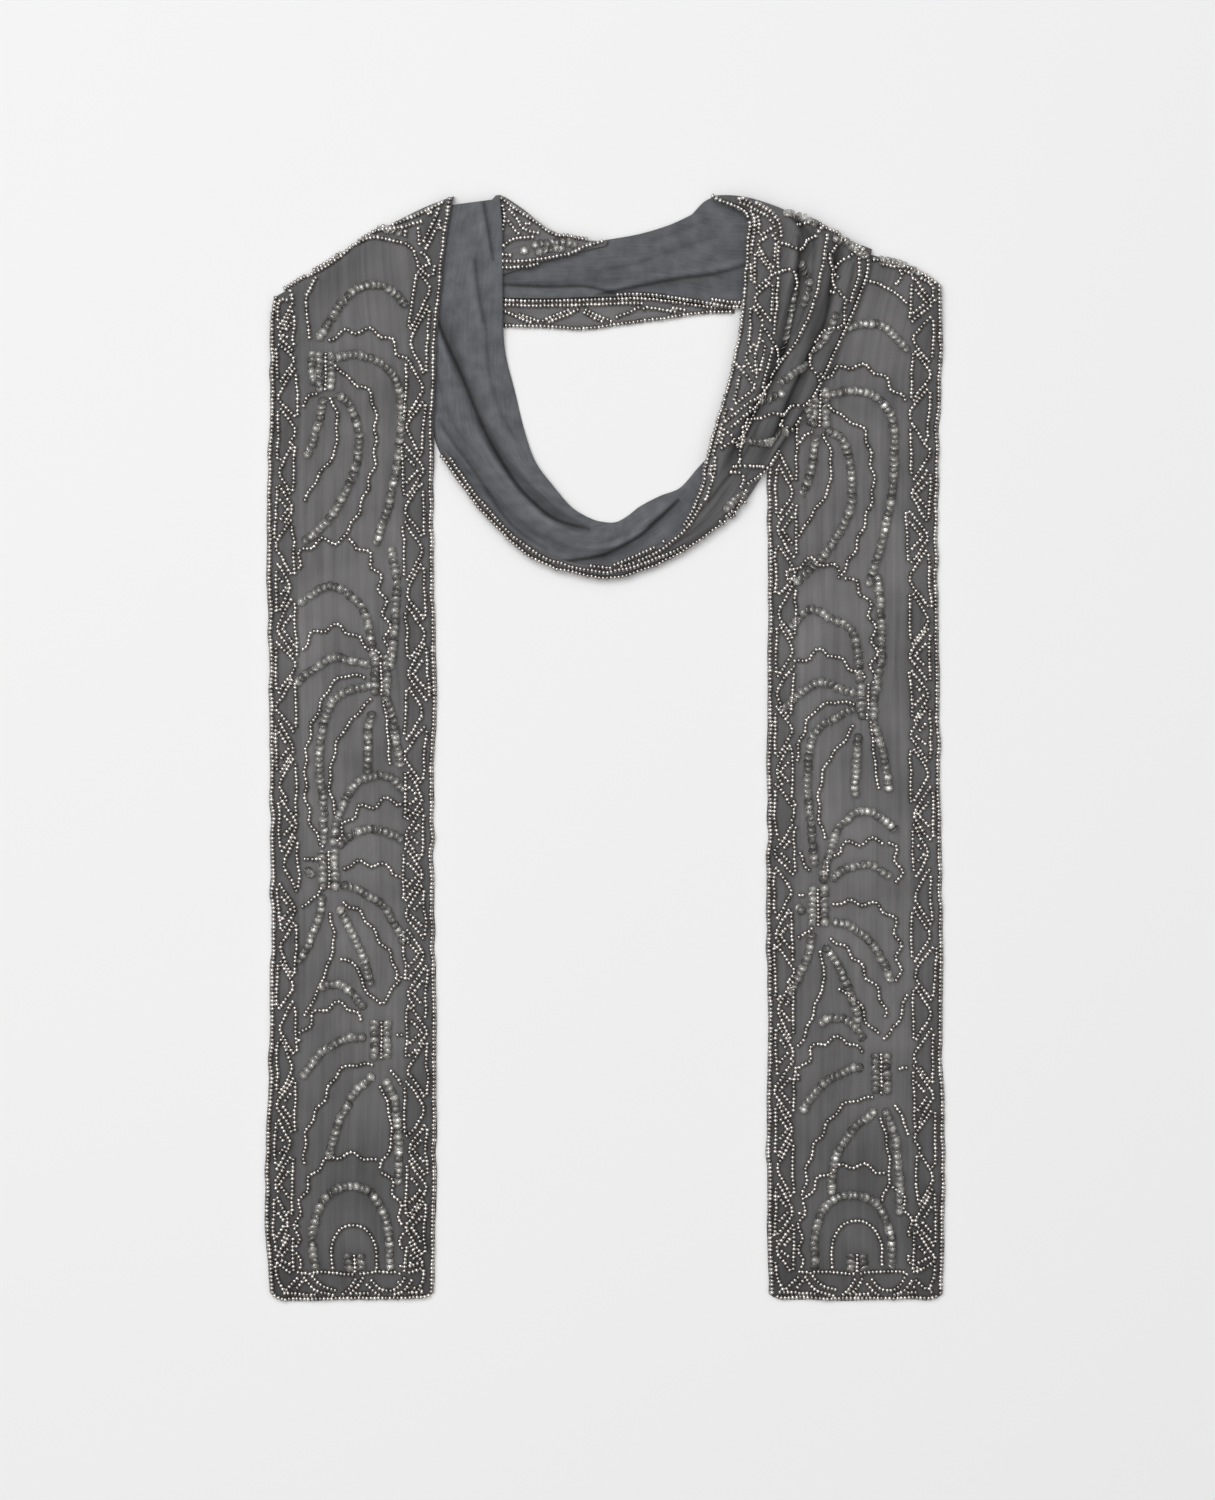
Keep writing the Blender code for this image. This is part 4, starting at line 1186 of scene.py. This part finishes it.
def spray(threads, chart, foot, reach, seed):
    """Every leaf of a chart, then the stem: a line of beads with a stack of sequins on either side."""
    rng = np.random.default_rng(seed)
    for kind, scallop, *places in chart:
        shifted = np.array(places, float) + rng.normal(0, 0.7, (len(places), 2))
        threads.plan(kind, foot + shifted * (reach, 1), scallop=scallop)
    threads.plan("bead", [foot, foot + (0.4, STEM)])
    for side in (-3.2, 3.2):
        threads.plan("sequin", [foot + (side, 1), foot + (side, STEM)])


fields = {name: Threads(stretch, hidden) for name, (stretch, hidden) in tails.items()}
for k, (name, chart, up, place, reach) in enumerate(SPRAYS):
    spray(fields[name], chart, np.array([LEFT_EDGE[name] + place, HEM_Y + up]), reach, 50 + k)

# %% [markdown]
# Above each hem stands a shell: a scalloped arch, an arch of sequins and a plain arch on a base line. Below
# it doubled swags hang across, threads cross in both corners, and one row of beads follows the hem itself.

# %% Hems
# kind, scallop, then each arch's middle in from the left edge, its half width and its height above the hem
SHELLS = {
    "left_tail": [
        ("bead", 1.6, 45.5, 28.0, 79.0),
        ("sequin", 0, 46.0, 20.5, 62.0),
        ("bead", 0, 47.5, 12.0, 41.0),
    ],
    "right_tail": [
        ("bead", 1.6, 47.5, 29.5, 73.0),
        ("sequin", 0, 46.0, 20.5, 57.0),
        ("bead", 0, 48.0, 13.5, 43.0),
    ],
}
SHELL_FOOT = 17.0
HEM_LINE = 1.3
# Swags and corner crossings: height above the hem, then place in from the left edge
SWAGS = [
    [(13.5, 19), (6, 25), (2.9, 35)],
    [(15.5, 22), (8.8, 28), (5.6, 37)],
    [(2.9, 39), (6.5, 43.5), (13, 48)],
    [(3.1, 43), (7, 47.5), (13, 51.5)],
    [(12, 55), (6.4, 60), (5.4, 66), (8.4, 71), (14.5, 75)],
    [(9.4, 52.5), (3.6, 58.5), (2.9, 66), (5.4, 73), (12, 78)],
    [(4.4, 7), (3.7, 20), (3.5, 32)],
    [(3.6, 46), (3.9, 56)],
    [(3.6, 70), (4.2, 82)],
]
CROSSINGS = [
    [(33, 4.6), (22, 9.5), (14, 18)],
    [(21.5, 4.0), (12, 4.8), (4.2, 8.5)],
    [(13, 16.5), (6.4, 9.5), (4.0, 5.0)],
    [(11, 19), (3.9, 12.5)],
]


def arch(middle, half, top):
    """Seven places on an arch that stands on the shell's foot."""
    rise = top - SHELL_FOOT
    shape = [(-1, 0.0), (-0.98, 0.5), (-0.62, 0.88), (0, 1.0), (0.62, 0.88), (0.98, 0.5), (1, 0.0)]
    return [(SHELL_FOOT + rise * height, middle + half * side) for side, height in shape]


def hem(threads, shells):
    """The hem's line, the swags and corner crossings above it, and the shell."""
    width = float(threads.stretch.width(0.0))
    threads.strip("bead", [(HEM_LINE, 1.8), (HEM_LINE, width / 2), (HEM_LINE, width - 1.8)], unevenness=0.6)
    for places in SWAGS:
        threads.strip("bead", places)
    for places in CROSSINGS:
        threads.strip("bead", places)
        threads.strip("bead", [(up, width - across) for up, across in places])
    for kind, scallop, middle, half, top in shells:
        threads.strip(kind, arch(middle, half, top), scallop=scallop)
    middle = shells[-1][2]
    threads.strip("bead", [(15.0, middle), (25.0, middle)])
    for side in (-3.4, 3.4):
        threads.strip("sequin", [(16.0, middle + side), (25.0, middle + side)])
    threads.strip("bead", [(48.0, 17.5), (30.0, 17.8), (15.5, 17.5)])
    threads.strip("bead", [(15.0, 17.5), (15.6, 30), (14.4, 46), (15.6, 60), (15.4, 74)])


# The tails' tops, where the fold shows the border's end: kind, scallop, then places in plan
LEFT_TOP = [
    ("bead", 0, (-174, 248), (-165, 252), (-152, 258), (-143, 264), (-132, 272), (-123, 275), (-108, 272)),
    ("bead", 0, (-108, 272), (-103, 268), (-101, 259), (-102, 246), (-104, 232)),
    ("bead", 0, (-174, 251), (-158, 258), (-146, 265), (-136, 272), (-126, 278), (-112, 280), (-98, 284)),
    ("bead", 0, (-155, 254), (-159, 248), (-161, 241), (-160, 228), (-159, 220)),
    ("bead", 0, (-170, 249), (-168, 240), (-172, 232), (-175, 222)),
    ("bead", 0, (-126, 276.5), (-112, 282.5), (-98, 288), (-86, 293.5)),
    ("bead", 0, (-108, 275), (-107, 281), (-104, 286)),
    ("bead", 0, (-101, 285), (-100.5, 276), (-100, 270)),
    ("bead", 0, (-99, 270), (-94.5, 279), (-90, 287), (-88.5, 292)),
    ("bead", 0, (-96.5, 268), (-91.5, 277), (-88, 284)),
    ("bead", 0, (-96, 287), (-91, 289.5)),
    ("bead", 0, (-88.5, 283), (-88, 275), (-88.5, 267), (-90, 258.5)),
    ("bead", 0, (-99.5, 267), (-95, 263), (-90.5, 258)),
    ("bead", 0, (-120, 281), (-116, 279), (-113, 281)),
    ("sequin", 0, (-125, 281), (-118, 279), (-110, 277)),
]
RIGHT_TOP = [
    ("bead", 0, (142, 252), (150, 249), (160, 243), (167, 234)),
    ("bead", 0, (158, 260), (160, 254), (156, 249)),
    ("bead", 0, (144, 263), (158, 261), (169, 256), (179, 250)),
    ("bead", 0, (149, 261), (160, 258), (172, 251)),
    ("bead", 0, (165, 256), (168, 249), (174, 246), (178, 240)),
    ("sequin", 0, (148, 263), (160, 260), (171, 254)),
]
for name, threads in fields.items():
    hem(threads, SHELLS[name])
for name, lines in (("left_tail", LEFT_TOP), ("right_tail", RIGHT_TOP)):
    for kind, scallop, *places in lines:
        fields[name].plan(kind, places, scallop=scallop)
for k, (name, threads) in enumerate(fields.items()):
    seat(threads, "bead", name + "_leaf_beads", name, 21 + k)
    seat(threads, "sequin", name + "_sequins", name, 121 + k)

# %% [markdown]
# The loop. On the arm the pattern is the same as a tail's, gathered into pleats, so only parts of it show:
# they are charted in plan, as they lie. Towards the bottom only the strip's edge shows, so there the beads
# are close rows that run with the rim, more of them as it widens.

# %% Arm
# kind, scallop, then places in plan
ARM_THREADS = [
    ("bead", 0, (119, 276), (117, 262), (112, 240), (103, 218), (91, 201), (84, 192)),
    ("bead", 1.0, (90, 276), (97, 270), (106, 270), (116, 279)),
    ("bead", 0.6, (90, 255), (97, 257), (102, 254), (103, 246)),
    ("bead", 0, (139, 267), (141, 260), (138, 247), (130, 225), (121, 208), (118, 200)),
    ("bead", 0, (123, 258), (124, 249), (131, 239)),
    ("bead", 0.6, (122, 246), (128, 242), (128, 229), (118, 224), (114, 218)),
    ("bead", 0, (136, 264), (136, 254), (131, 240)),
    ("bead", 0, (123, 257), (129, 263), (138, 269)),
    ("bead", 0, (115, 218), (111, 208), (115, 198)),
    ("bead", 0, (109, 213), (112, 205), (117, 200)),
    ("bead", 0, (84, 228), (91, 217), (94, 207)),
    ("bead", 0, (84, 225), (81, 211), (81, 198)),
    ("bead", 0, (71, 207), (76, 201), (79, 195)),
    ("bead", 0, (86, 193), (75, 184), (64, 174)),
    ("bead", 0, (88, 191), (77, 181), (67, 172)),
    ("bead", 0, (64, 172), (69, 166), (72, 161)),
    ("bead", 0, (60, 157), (59, 148), (57, 141), (54, 133)),
    ("bead", 0, (69, 151), (79, 152), (88, 151)),
    ("bead", 0, (66, 148), (73, 148), (74, 143), (72, 140)),
    ("bead", 0, (93, 160), (90, 154), (84, 148), (76, 142)),
    ("bead", 1.0, (81, 177), (90, 179), (103, 184), (115, 189)),
    ("bead", 0.6, (96, 180), (95, 174), (101, 172), (106, 179)),
    ("bead", 0, (115, 198), (115, 192), (112, 188)),
    ("bead", 0, (86, 148), (78, 143), (73, 134), (67, 123)),
    ("bead", 0, (54, 294), (59, 297), (66, 293), (77, 284)),
    ("bead", 0, (57, 291), (64, 290), (73, 284)),
    ("bead", 0.8, (104, 283), (116, 281), (128, 274), (141, 267)),
    ("bead", 0, (124, 271), (120, 262), (127, 252)),
    ("sequin", 0, (103, 246), (101, 238), (99, 222), (95, 208)),
    ("sequin", 0, (94, 195), (101, 202), (110, 207)),
    ("sequin", 0, (72, 165), (82, 164), (90, 166), (98, 171)),
    ("sequin", 0, (96, 287), (104, 286), (113, 281)),
    ("sequin", 0, (123, 275), (133, 270), (140, 264)),
    ("sequin", 0, (106, 262), (110, 250), (106, 236)),
    ("sequin", 0, (124, 234), (120, 222), (112, 212)),
    ("sequin", 0, (84, 186), (90, 188), (97, 192)),
    ("sequin", 0, (64, 128), (70, 134), (77, 138)),
]
ARM_TRIANGLE = 1.3     # how many sections from one triangle to the next on the arm's inner edge
ARM_LAST = 7.8         # the section at which the arm's rows end and the rim's inner rows begin
SECTION = 20.0         # about how many millimetres long a section of the arm is
# depth in from the inner edge, then first and last section
ARM_ROWS = [(1.0, 0.05, ARM_LAST), (3.4, 0.2, 2.8), (3.6, 5.6, ARM_LAST)]
ARM_BORDER = (5.6, 15.0, 18.0)     # depths of the triangles' points, their bases and the line beyond them

arm = Threads(loop_face)
for kind, scallop, *places in ARM_THREADS:
    arm.plan(kind, places, scallop=scallop)


def from_rim(s, depth):
    """Beads at a distance in from the arm's inner edge."""
    arm.add("bead", s, 1 - np.asarray(depth) / loop_face.width(s), unevenness=0.4)


rng = np.random.default_rng(8)
near, far, beyond = ARM_BORDER
for depth, first, last in ARM_ROWS:
    s = np.linspace(first, last, 160)
    from_rim(s, np.full(160, depth))
for at in np.arange(0.5, ARM_LAST - 1.0, ARM_TRIANGLE):
    for middle, base, point in ((at, far, near), (at + ARM_TRIANGLE / 2, near, far)):
        up = middle * SECTION
        corners = [(up - 10, base), (up, point), (up + 10, base)]
        ring = cut_corners(np.array(corners) + rng.normal(0, 0.4, (3, 2)), 1.2)
        from_rim(np.clip(ring[:, 0] / SECTION, 0.1, ARM_LAST), ring[:, 1])
s = np.linspace(0.1, ARM_LAST, 160)
from_rim(s, beyond + waver(s * SECTION, 14, 0.8, 9))
seat(arm, "bead", "loop_face_beads", "loop_face", 41)
seat(arm, "sequin", "loop_face_sequins", "loop_face", 42)

# %% [markdown]
# The rim. Where the strip turns over at the bottom of the loop, its hem and border fold together into a
# cord of close bead rows. A row is kept wherever the rim is wide enough for it.

# %% Rim
RIM_LAST, INNER_LAST = 18.0, 16.4     # sections at which the outer and the inner rows end
# depth in from the rim's outer edge, then the section at which that row begins
RIM_ROWS = [(1.0, 8.8), (3.7, 8.8), (6.0, 12.2), (8.2, 12.8)]
INNER_ROWS = (3.9, 1.2)        # in from its inner edge

rim = Threads(loop_face)
for depth, first in RIM_ROWS:
    s = np.linspace(first, RIM_LAST, 260)
    open_here = s[loop_face.width(s) > depth + 0.5]
    if len(open_here) > 5:
        part = np.linspace(open_here.min(), open_here.max(), 220)
        rim.add("bead", part, depth / loop_face.width(part), unevenness=0.6)
inner_part = np.linspace(ARM_LAST, INNER_LAST, 240)
for depth in INNER_ROWS:
    rim.add("bead", inner_part, 1 - depth / loop_face.width(inner_part), unevenness=0.3)
# the rim's beads take only the darker tones: painted shade, for the rim's outward slope
seat(rim, "bead", "loop_face_rim_beads", "loop_face", 47, tones=(0.1, 0.6))

# %% [markdown]
# The neck band. Its reverse has a beaded edge at the right. The border of the layer below shows under it as
# a doubled zigzag between lines, and at the upper left a beaded part is turned over it.

# %% Neck band
BAND_ROWS = ((0.9, 4.2), (3.5, 7.4))     # depth in from the lower edge, then first section
PEEP_LOW, PEEP_HIGH, PEEP_THIRD = 0.9, 1.3, 3.9     # in from the lower edge, and from the band's edge above
ZIGZAG_LOW, ZIGZAG_HIGH = 2.9, 6.0     # how far in from the same two edges the zigzag stops
ZIGZAG, ZIGZAG_STEP, DOUBLED = 0.80, 0.93, 0.23     # in sections: a slant, the next one, its second line
under_arms = lambda points: under_left_arm(points) | under_face_arm(points)
band = Threads(neck_reverse, under_arms)
for depth, first in BAND_ROWS:
    s = np.linspace(first, neck_reverse.last, 80)
    band.add("bead", s, depth / neck_reverse.width(s), unevenness=0.15)
seat(band, "bead", "neck_reverse_beads", "neck_reverse", 43)

peep = Threads(neck_border, under_arms)
s = np.linspace(0.0, neck_border.last, 120)
selvedge = neck_reverse.at(np.linspace(0, neck_reverse.last, 200), np.zeros(200))
bottom = neck_border.at(s, np.zeros(120))
strip_shown = np.interp(neck_border.at(s, 0.5)[:, 0], selvedge[:, 0], selvedge[:, 1]) - bottom[:, 1]
peep.add("bead", s, PEEP_LOW / neck_border.width(s), unevenness=0.3)
peep.add("bead", s, (strip_shown - PEEP_HIGH) / neck_border.width(s), unevenness=0.1)
short = s < 4.6
peep.add("bead", s[short], (strip_shown[short] - PEEP_THIRD) / neck_border.width(s[short]), unevenness=0.2)
for k, at in enumerate(np.arange(0.9, 5.3, ZIGZAG_STEP)):
    high = np.interp([at, at + ZIGZAG], s, strip_shown) - ZIGZAG_HIGH
    start, stop = (ZIGZAG_LOW, high[1]) if k % 2 else (high[0], ZIGZAG_LOW)
    path = np.linspace(0, 1, 30)
    for shift in (0.0, DOUBLED):
        section = at + shift + ZIGZAG * path
        inward = start + (stop - start) * path
        peep.add("bead", section, inward / neck_border.width(section), unevenness=0.4)
seat(peep, "bead", "neck_border_beads", "neck_border", 44)

# kind, then places in plan
FOLD_THREADS = [
    ("bead", (-56.5, 297), (-50, 291.5), (-40, 285), (-32.5, 279.5), (-26.5, 276), (-18, 275), (-9, 273)),
    ("bead", (-55.5, 293), (-54, 286), (-55.5, 278)),
    ("bead", (-52.5, 290.5), (-48, 286), (-44, 279.5), (-34.5, 277)),
    ("bead", (-52.5, 284.5), (-49, 279.5), (-45, 276.5)),
    ("bead", (-51, 278), (-44.5, 282), (-37, 282.5)),
    ("bead", (-55.5, 270), (-48, 274.5), (-38, 275.5)),
    ("bead", (-56, 262.3), (-45, 262.2), (-36.5, 263.2), (-25, 265.4), (-17, 267.3), (-11, 270), (0, 273)),
    ("bead", (-56, 258.5), (-44, 259.5), (-34, 261), (-24, 264)),
    ("bead", (-56, 266), (-50, 265.5)),
    ("sequin", (-39, 269.8), (-30.5, 272), (-23, 272.2), (-14.5, 271)),
    ("sequin", (-37, 266.8), (-28.5, 268.4), (-20.5, 269)),
    ("sequin", (-45, 268), (-41, 267.5)),
]
turned = Threads(neck_fold, under_left_arm)
for kind, *places in FOLD_THREADS:
    turned.plan(kind, places, unevenness=0.2)
seat(turned, "bead", "neck_fold_beads", "neck_fold", 45)
seat(turned, "sequin", "neck_fold_sequins", "neck_fold", 46)
